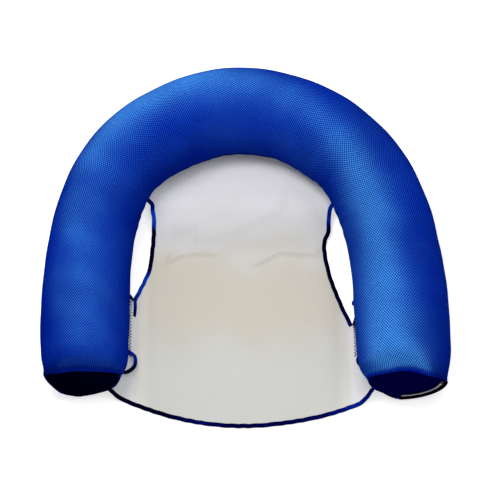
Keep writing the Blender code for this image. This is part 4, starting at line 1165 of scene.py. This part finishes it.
def build_bindings(seat, strips):
    grid = seat.grid
    left, right = strips[-1][:, :STRIP_COLUMNS + 1], strips[1][:, :STRIP_COLUMNS + 1]
    hem, inner = [np.concatenate((left[k][::-1], grid[k], right[k])) for k in (-1, -3)]
    pieces = binding("hem_binding", "front_binding", hem, inner, HEM_LIT)
    for name, node, column, inner_column, lit_shares, twist in (
            ("left_side_binding", "side_binding_left", 0, 3, LEFT_LIT, LEFT_TWIST),
            ("right_side_binding", "side_binding_right", -1, -4, RIGHT_LIT, RIGHT_TWIST)):
        sunk = seam_point(seat.seam_places[column], -LIP)[None]
        beside = sunk + grid[0, inner_column] - grid[0, column]
        edge = np.concatenate((sunk, grid[:SIDE_ROWS + 1, column]))
        inner = np.concatenate((beside, grid[:SIDE_ROWS + 1, inner_column]))
        pieces += binding(name, node, edge, inner, lit_shares, twist)
    tab, inner = left[0, :STRIP_COLUMNS], left[4, :STRIP_COLUMNS]
    return pieces + binding("left_tab_binding", "tab_binding_left", tab, inner, TAB_LIT)


def ribbon(name, node, centres, widths, width, thickness, lit_shares):
    """A flat tape along a line of points, each with its own direction of width."""
    edge, flat, low, high = width / 2, width * 0.44, thickness * 0.3, thickness / 2
    outline = [(-edge, -low), (-edge, low), (-flat, high), (flat, high), (edge, low), (edge, -low),
               (flat, -high), (-flat, -high)]
    frames = []
    for k, here in enumerate(centres):
        ahead = heading(centres, k)
        side = unit(widths[k] - ahead * (widths[k] @ ahead))
        frames.append((here, side, np.cross(ahead, side)))
    return tape(name, node, frames, [outline] * len(frames), distances(centres), lit_shares)


LOOP_RISE = 0.003
LOOP_WIDTH = 0.0088
LOOP_THICKNESS = 0.0013
LOOP_DROOP = math.radians(32.0)
LOOP_STEPS = 60
# Lines of the tape loops: distance out of the seam and distance along the leg from the first foot
LEFT_LOOP = ((-0.002, 0.003), (0.009, 0.005), (0.018, 0.009), (0.026, 0.0125), (0.0312, 0.0165),
             (0.0330, 0.0245), (0.0325, 0.0335), (0.0285, 0.0425), (0.0215, 0.0495), (0.0135, 0.0550),
             (0.006, 0.0560), (-0.002, 0.053))
RIGHT_LOOP = ((-0.002, 0.0), (0.006, 0.006), (0.0105, 0.014), (0.0132, 0.020), (0.0115, 0.027),
              (0.006, 0.035), (-0.002, 0.041))
RIGHT_END = ((-0.002, 0.0), (0.008, 0.001), (0.0145, 0.003), (0.0175, 0.007), (0.0145, 0.011),
             (0.008, 0.013), (-0.002, 0.014))


def build_loop(name, node, side, first, places, lean, lit_shares):
    """A tape that comes out of the leg's inner seam, goes round and back in, its flat side facing up."""
    chord = distances(np.array(places))
    at = np.linspace(0.0, chord[-1], LOOP_STEPS + 1)
    outs, runs = [smooth_between(tuple(zip(chord, values)), at) for values in np.array(places).T]
    centres, planes = [], []
    for out, run in zip(outs, runs):
        s = leg_s(side, first + run)
        _, inward, _, axis = line_at(s)
        droop = inward * math.cos(LOOP_DROOP) - UP * math.sin(LOOP_DROOP)
        centres.append(seam_point(s, 0.0, -LOOP_RISE / TUBE_RADIUS) + droop * out)
        planes.append(np.cross(droop, axis))
    centres = np.array(centres)
    centres[:, 2] = np.maximum(centres[:, 2], SHEET_HEIGHT + SEAT_CLOTH + LOOP_THICKNESS)
    widths = []
    for k, plane in enumerate(planes):
        tilt = lean[0] + (lean[1] - lean[0]) * k / LOOP_STEPS
        widths.append(unit(np.cross(heading(centres, k), plane)) * math.cos(tilt) + plane * math.sin(tilt))
    return ribbon(name, node, centres, widths, LOOP_WIDTH, LOOP_THICKNESS, lit_shares)


TAIL_WIDTH = 0.0080
TAIL_THICKNESS = 0.0012
TAIL_LENGTH = 0.041
TAIL_START = 0.001
TAIL_STEPS = 24
TAIL_ALONG_ROW = 20
TAIL_ASIDE = (0.0025, -0.0045)
TAIL_SWAY = 0.0008
TAIL_SWAY_TURN = 4.2
TAIL_LEAN = (0.15, 0.75)
TAIL_RISE = (0.0013, 0.0030)


def build_tail(seat):
    """The loose end of the side tape, lying on the seat in front of the left corner."""
    feet = seat.feet[-1]
    along = unit(feet[TAIL_ALONG_ROW] - feet[0])
    across = np.array((-along[1], along[0], 0.0))
    centres, widths = [], []
    for t in np.linspace(0.0, 1.0, TAIL_STEPS + 1):
        aside = TAIL_ASIDE[0] + TAIL_ASIDE[1] * t + TAIL_SWAY * math.sin(t * TAIL_SWAY_TURN)
        lean = TAIL_LEAN[0] + TAIL_LEAN[1] * t
        here = feet[0] + along * (TAIL_START + TAIL_LENGTH * t) + across * aside
        here[2] = SHEET_HEIGHT + SEAT_CLOTH / 2 + TAIL_RISE[0] + TAIL_RISE[1] * t + max(-aside, 0.0)
        centres.append(here)
        widths.append(across * math.cos(lean) - UP * math.sin(lean))
    ribbon("left_tape_tail", "binding_tail_left", centres, widths, TAIL_WIDTH, TAIL_THICKNESS, TAIL_LIT)


# Threads

STITCH_PITCH = 0.0042
STITCH_LENGTH = 0.0031
STITCH_RADIUS = 0.00035
STITCH_SIDES = 5
STITCH_RISES = ((0.0, -1.2), (0.18, 0.3), (0.5, 0.6), (0.82, 0.3), (1.0, -1.2))
STITCH_FROM_SEAM = 0.0065
STITCH_FROM_END = 0.0045
SEAM_ROW_MARGIN = 0.004
ZIGZAG_FAR = 0.0158
ZIGZAG_NEAR = 0.0100
ZIGZAG_PITCH = 0.0074
ZIGZAG_RADIUS = 0.0014
ZIGZAG_RISE = 0.0012


def thread_tube(name, path, radius, finish, node=None):
    """One thread or wire along a line of points."""
    path = np.asarray(path)
    frames = []
    for k, here in enumerate(path):
        ahead = heading(path, k)
        side = unit(np.cross(ahead, UP))
        frames.append((here, side, np.cross(side, ahead)))
    points, faces = sweep(frames, round_outline(radius, 6))
    return attach(outward(mesh_piece(name, points, faces, finish)), node)


def stitching(name, line, ups, closed=False):
    """A row of single stitches along a line on a cloth, each dipping into the cloth at both ends."""
    line, ups = np.asarray(line), np.asarray(ups)
    if closed:
        line, ups = np.concatenate((line, line[:1])), np.concatenate((ups, ups[:1]))
    along = distances(line)

    def at(values, place):
        return np.array([np.interp(place, along, values[:, axis]) for axis in range(3)])

    shapes = []
    for k in range(int((along[-1] - STITCH_PITCH / 2) / STITCH_PITCH)):
        frames = []
        for share, rise in STITCH_RISES:
            place = STITCH_PITCH * (k + 0.5) + STITCH_LENGTH * share
            up = unit(at(ups, place))
            ahead = at(line, place + 0.0005) - at(line, place - 0.0005)
            frames.append((at(line, place) + up * (STITCH_RADIUS * rise), unit(np.cross(ahead, up)), up))
        shapes.append(sweep(frames, round_outline(STITCH_RADIUS, STITCH_SIDES)))
    points, faces = joined(shapes)
    return attach(outward(mesh_piece(name, points, faces, NAVY_THREAD)))


def seam_stitches(name, angle, side):
    """Stitches along the tube beside one of its long seams."""
    places = np.linspace(SEAM_ROW_MARGIN, TUBE_LENGTH - SEAM_ROW_MARGIN, 700)
    rows = skin(places, [angle + side * STITCH_FROM_SEAM / TUBE_RADIUS])[:, 0]
    stitching(name, rows, rows - lines(places)[0][:, 0])


def end_stitches(name, s):
    """Stitches round the edge of an end panel."""
    place = s + (STITCH_FROM_END if s < TUBE_LENGTH / 2 else -STITCH_FROM_END)
    rows = skin([place], np.linspace(0.0, 2.0 * math.pi, 240, endpoint=False))[0]
    axis = line_at(s)[3]
    away = rows - line_at(place)[0]
    stitching(name, rows, away - axis * (away @ axis)[:, None], closed=True)


def build_zigzag(name, strip, stop):
    """A zigzag stitch along a strip of the seat, between two distances from the tube's seam."""
    top = strip[:, :STRIP_COLUMNS]
    length = distances(top[:, 5])
    points = []
    for k in range(int(min(length[-1], stop) / (ZIGZAG_PITCH / 2))):
        at = k * ZIGZAG_PITCH / 2
        row = min(int(np.searchsorted(length, at, side="right")) - 1, len(length) - 2)
        part = (at - length[row]) / (length[row + 1] - length[row])
        line = top[row] + (top[row + 1] - top[row]) * part
        width = abs(float(line[-1][0] - line[0][0]))
        share = max(1.0 - (ZIGZAG_NEAR if k % 2 else ZIGZAG_FAR) / width, 0.0) * (STRIP_COLUMNS - 1)
        column = min(int(share), STRIP_COLUMNS - 2)
        points.append(line[column] + (line[column + 1] - line[column]) * (share - column) + UP * ZIGZAG_RISE)
    thread_tube(name, points, ZIGZAG_RADIUS, BLACK_THREAD)


# Zip

ZIP_TAPE_LOW = 0.0003
ZIP_TAPE_HIGH = 0.0011
ZIP_TAPE_ROUNDING = (0.0003, 0.0002)
ZIP_TAPE_STEPS = 160
# The outer tape's way over the cover's edge: distance past the tape's own edge and height off the panel
OVER_EDGE = ((0.0004, 0.0022), (0.0010, 0.0058), (0.0020, 0.0072), (0.0036, 0.0070), (0.0046, 0.0056),
             (0.0050, 0.0030), (0.0036, 0.0030), (0.0026, 0.0056), (0.0014, 0.0014))
ZIP_COIL_PITCH = 0.0016
ZIP_COIL_MIDDLE = 0.00165
ZIP_COIL_REACH = 0.00080
ZIP_COIL_HEIGHT = 0.0021
ZIP_COIL_RISE = 0.00055
ZIP_COIL_MARGIN = 0.043
ZIP_COIL_TURN_STEPS = 14
ZIP_WIRE = 0.00032

# Slider: plates as lowest and highest face and half width at both ends, turned-in sides, post and lug
SLIDER_LENGTH = 0.0072
SLIDER_TURN = math.radians(184.0)
PLATES = ((0.0033, 0.0044, 0.0040, 0.0029), (-0.0011, -0.0002, 0.0038, 0.0027))
PLATE_ROUNDING = 0.35
PLATE_SOFTNESS = 0.00025
TURNED_SIDE = (0.0040, -0.0011)
TURNED_SIDE_OUTLINE = ((0.0, 0.0040), (-0.0007, 0.0038), (-0.0007, 0.0024), (0.0, 0.0022))
TURNED_SIDE_SHARE = 0.86
POST_PLACE = -0.30
POST_LENGTH_SHARE = 0.10
POST_HALF_WIDTH = 0.0003
POST_RISES = (-0.0004, 0.0036)
POST_SIDES = 10
LUG_SHARE = 0.30
LUG_FOOT = 0.0042
LUG_RISE = 0.0011
LUG_OUTLINE = ((-0.0008, -0.0003), (0.0008, -0.0003), (0.0008, 0.0003), (-0.0008, 0.0003))


def zip_point(angle, radius, rise):
    """A point on the right end: its angle and distance from the middle, and its height off the panel."""
    centre, inward, up, axis = leg_line(1, LEG_LENGTH)
    return centre + (inward * math.cos(angle) + up * math.sin(angle)) * radius + axis * rise


def build_zip_tape(name, node, inner, outer, over_edge, finish):
    """One half of the zip's tape; the outer one goes on over the edge of the cover, to which it is sewn."""
    low, high = ZIP_TAPE_LOW, ZIP_TAPE_HIGH
    back, down = ZIP_TAPE_ROUNDING
    middle, half = (inner + outer) / 2, (outer - inner) / 2
    outline = [(-half, low), (-half, high - down), (-half + back, high), (-half * 0.5, high), (0.0, high),
               (half * 0.5, high)]
    if over_edge:
        outline += [(half * 0.9, high)] + [(half + past, rise) for past, rise in OVER_EDGE]
    else:
        outline += [(half - back, high), (half, high - down)]
    outline += [(half, low), (0.0, low)]
    angles = np.linspace(ZIP_START, ZIP_START + ZIP_SPAN, ZIP_TAPE_STEPS + 1)
    rows = [[zip_point(angle, middle + a, b) for a, b in outline] for angle in angles]
    points, faces = loft(rows)
    points = np.array(points)
    points[:, 2] = off_floor(points[:, 2])
    uvs = [(angle * middle, a) for angle in angles for a, _ in outline]
    attach(outward(mesh_piece(name, points, faces, finish, uvs)), node)


def build_zip_coil(name, node, radius, phase):
    """A spiral of plastic wire sewn along one tape; the two spirals hook into each other."""
    start, stop = ZIP_START + ZIP_COIL_MARGIN, ZIP_START + ZIP_SPAN - ZIP_COIL_MARGIN
    count = int((stop - start) * ZIP_RADIUS / ZIP_COIL_PITCH * ZIP_COIL_TURN_STEPS)
    path = []
    for k in range(count + 1):
        turn = 2.0 * math.pi * k / ZIP_COIL_TURN_STEPS + phase
        reach, rise = ZIP_COIL_REACH * math.cos(turn), ZIP_COIL_HEIGHT + ZIP_COIL_RISE * math.sin(turn)
        path.append(zip_point(start + (stop - start) * k / count, radius + reach, rise))
    thread_tube(name, path, ZIP_WIRE, COIL, node)


def slider_shapes():
    """Points and faces of each part of the slider; the post is open at its ends, inside the plates."""
    step = SLIDER_LENGTH / ZIP_RADIUS

    def row(turn, outline, rise=0.0):
        return [zip_point(SLIDER_TURN + turn * step, ZIP_RADIUS + a, rise + b) for a, b in outline]

    for low, high, half_start, half_stop in PLATES:
        rows = []
        for t in np.linspace(0.0, 1.0, 13):
            half = half_start + (half_stop - half_start) * t
            half *= math.sqrt(max(1.0 - PLATE_ROUNDING * (2.0 * t - 1.0) ** 6, 0.05))
            soft = PLATE_SOFTNESS
            rows.append(row(t - 0.5, ((-half, low + soft), (-half + soft, low), (half - soft, low),
                                      (half, low + soft), (half, high - soft), (half - soft, high),
                                      (-half + soft, high), (-half, high - soft))))
        yield loft(rows)
    for side in (-1.0, 1.0):
        rows = []
        for t in np.linspace(0.0, 1.0, 9):
            half = TURNED_SIDE[0] + TURNED_SIDE[1] * t
            outline = [(side * (half + a), b) for a, b in TURNED_SIDE_OUTLINE]
            rows.append(row((t - 0.5) * TURNED_SIDE_SHARE, outline))
        yield loft(rows)
    points = []
    for rise in POST_RISES:
        for a, b in round_outline(1.0, POST_SIDES):
            points += row(POST_PLACE + POST_LENGTH_SHARE * a, [(POST_HALF_WIDTH * b, rise)])
    yield points, grid_faces(len(POST_RISES), POST_SIDES, closed=True)
    yield loft([row(LUG_SHARE * math.cos(turn), LUG_OUTLINE, LUG_FOOT + LUG_RISE * math.sin(turn))
                for turn in np.linspace(0.0, math.pi, 11)])


def build_slider():
    """Zip slider: two shield-shaped plates, the post between them, turned-in sides and a lug for a pull."""
    points, faces = joined(slider_shapes())
    piece = outward(mesh_piece("slider_body", points, faces, METAL, smooth=False))
    rounding = piece.modifiers.new("rounding", "BEVEL")
    rounding.width = 0.00015
    rounding.segments = 2
    attach(piece, "zip_slider", "slider")


# Stage, light and camera

FLOOR_SIZE = 60.0
FLOOR_LEVEL = -0.0002
FLOOR_GLOW = 0.60
WORLD_LIGHT = (0.34, 1.0)
# Name, place, aim, size and power
LAMPS = (("key_softbox", (-0.60, 0.50, 2.4), (0.0, 0.0, 0.05), 0.9, 30.0),
         ("top_softbox", (0.7, 0.2, 2.6), (0.05, -0.1, 0.05), 1.6, 22.0),
         ("rim_softbox", (-1.4, 2.3, 1.0), (-0.1, 0.2, 0.1), 1.4, 16.0))


def build_stage():
    """White floor, soft lamps and a pale world."""
    bpy.ops.mesh.primitive_plane_add(size=FLOOR_SIZE, location=(0.0, 0.0, FLOOR_LEVEL))
    floor = bpy.context.object
    floor.name = "studio_floor"
    n = new_material("floor_white")
    floor.data.materials.append(n.shade({
        "Base Color": colour(0.86, 0.86, 0.86), "Roughness": 0.9, "Specular IOR Level": 0.0,
        "Emission Color": colour(1.0, 1.0, 1.0),
        "Emission Strength": n.product(n.seen_directly(), FLOOR_GLOW)}))

    world = bpy.data.worlds.new("studio_world")
    bpy.context.scene.world = world
    n = Nodes(world)
    background = n.tree.nodes["Background"]
    n.feed(background.inputs["Color"], colour(1.0, 1.0, 1.0))
    n.feed(background.inputs["Strength"], n.ramp(n.seen_directly(), 0.0, 1.0, *WORLD_LIGHT))

    for name, place, aim, size, power in LAMPS:
        lamp = bpy.data.lights.new(name, "AREA")
        lamp.shape = "SQUARE"
        lamp.size = size
        lamp.energy = power
        made = bpy.data.objects.new(name, lamp)
        made.location = place
        made.rotation_euler = (Vector(aim) - Vector(place)).to_track_quat("-Z", "Y").to_euler()
        bpy.context.scene.collection.objects.link(made)


def build_camera():
    """The photograph's view."""
    data = bpy.data.cameras.new("photo_camera")
    data.sensor_width = SENSOR_MM
    data.lens = FOCAL_PIXELS / IMAGE_PIXELS * SENSOR_MM
    data.shift_x = SHIFT_PIXELS / IMAGE_PIXELS
    camera = bpy.data.objects.new("photo_camera", data)
    back = Vector((0.0, -math.cos(VIEW_ELEVATION), math.sin(VIEW_ELEVATION)))
    camera.location = Vector(ARC_CENTRE) + back * VIEW_DISTANCE
    camera.rotation_euler = back.to_track_quat("Z", "Y").to_euler()
    bpy.context.scene.collection.objects.link(camera)
    bpy.context.scene.camera = camera


def main():
    bpy.context.scene.view_settings.view_transform = "Standard"
    build_camera()
    build_stage()
    panel("tube_cloth_top", "cover_top", (SEAM_INNER, SEAM_OUTER), TOP_STEPS)
    panel("tube_cloth_bottom", "cover_bottom", (SEAM_OUTER, SEAM_INNER + 2.0 * math.pi), BOTTOM_STEPS)
    discs = (end_disc("left_end_cloth", "end_panel_left", 0.0),
             end_disc("right_end_cloth", "end_panel_right", TUBE_LENGTH))
    seam_stitches("outer_seam_stitches", SEAM_OUTER, -1.0)
    seam_stitches("inner_seam_stitches", SEAM_INNER, 1.0)
    end_stitches("left_end_stitches", 0.0)
    end_stitches("right_end_stitches", TUBE_LENGTH)
    bead_filling()
    sling, seat, strips = build_seat()
    hems = build_bindings(seat, strips)
    build_loop("left_hang_loop", "loop_left", -1, 0.2300, LEFT_LOOP, (0.1, -0.3), LEFT_LOOP_LIT)
    build_loop("right_hang_loop", "loop_right", 1, 0.2360, RIGHT_LOOP, (0.0, 0.0), RIGHT_LOOP_LIT)
    build_loop("right_tape_end", None, 1, 0.1140, RIGHT_END, (0.0, 0.0), END_LIT)
    build_tail(seat)
    build_zigzag("left_zigzag_stitch", strips[-1], 0.152)
    build_zigzag("right_zigzag_stitch", strips[1], 0.110)
    build_zip_tape("zip_tape_outer", "zip_tape_cover_side", 0.0777, 0.0850, True, BLACK_TAPE)
    build_zip_tape("zip_tape_inner", "zip_tape_end_side", 0.0690, 0.0763, False, END_TAPE)
    build_zip_coil("zip_spiral_outer", "zip_coil_cover_side", ZIP_RADIUS + ZIP_COIL_MIDDLE, 0.0)
    build_zip_coil("zip_spiral_inner", "zip_coil_end_side", ZIP_RADIUS - ZIP_COIL_MIDDLE, math.pi)
    build_slider()
    for node in ("zip_stop_start", "zip_stop_end"):
        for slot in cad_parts[node].material_slots:
            slot.material = METAL


main()
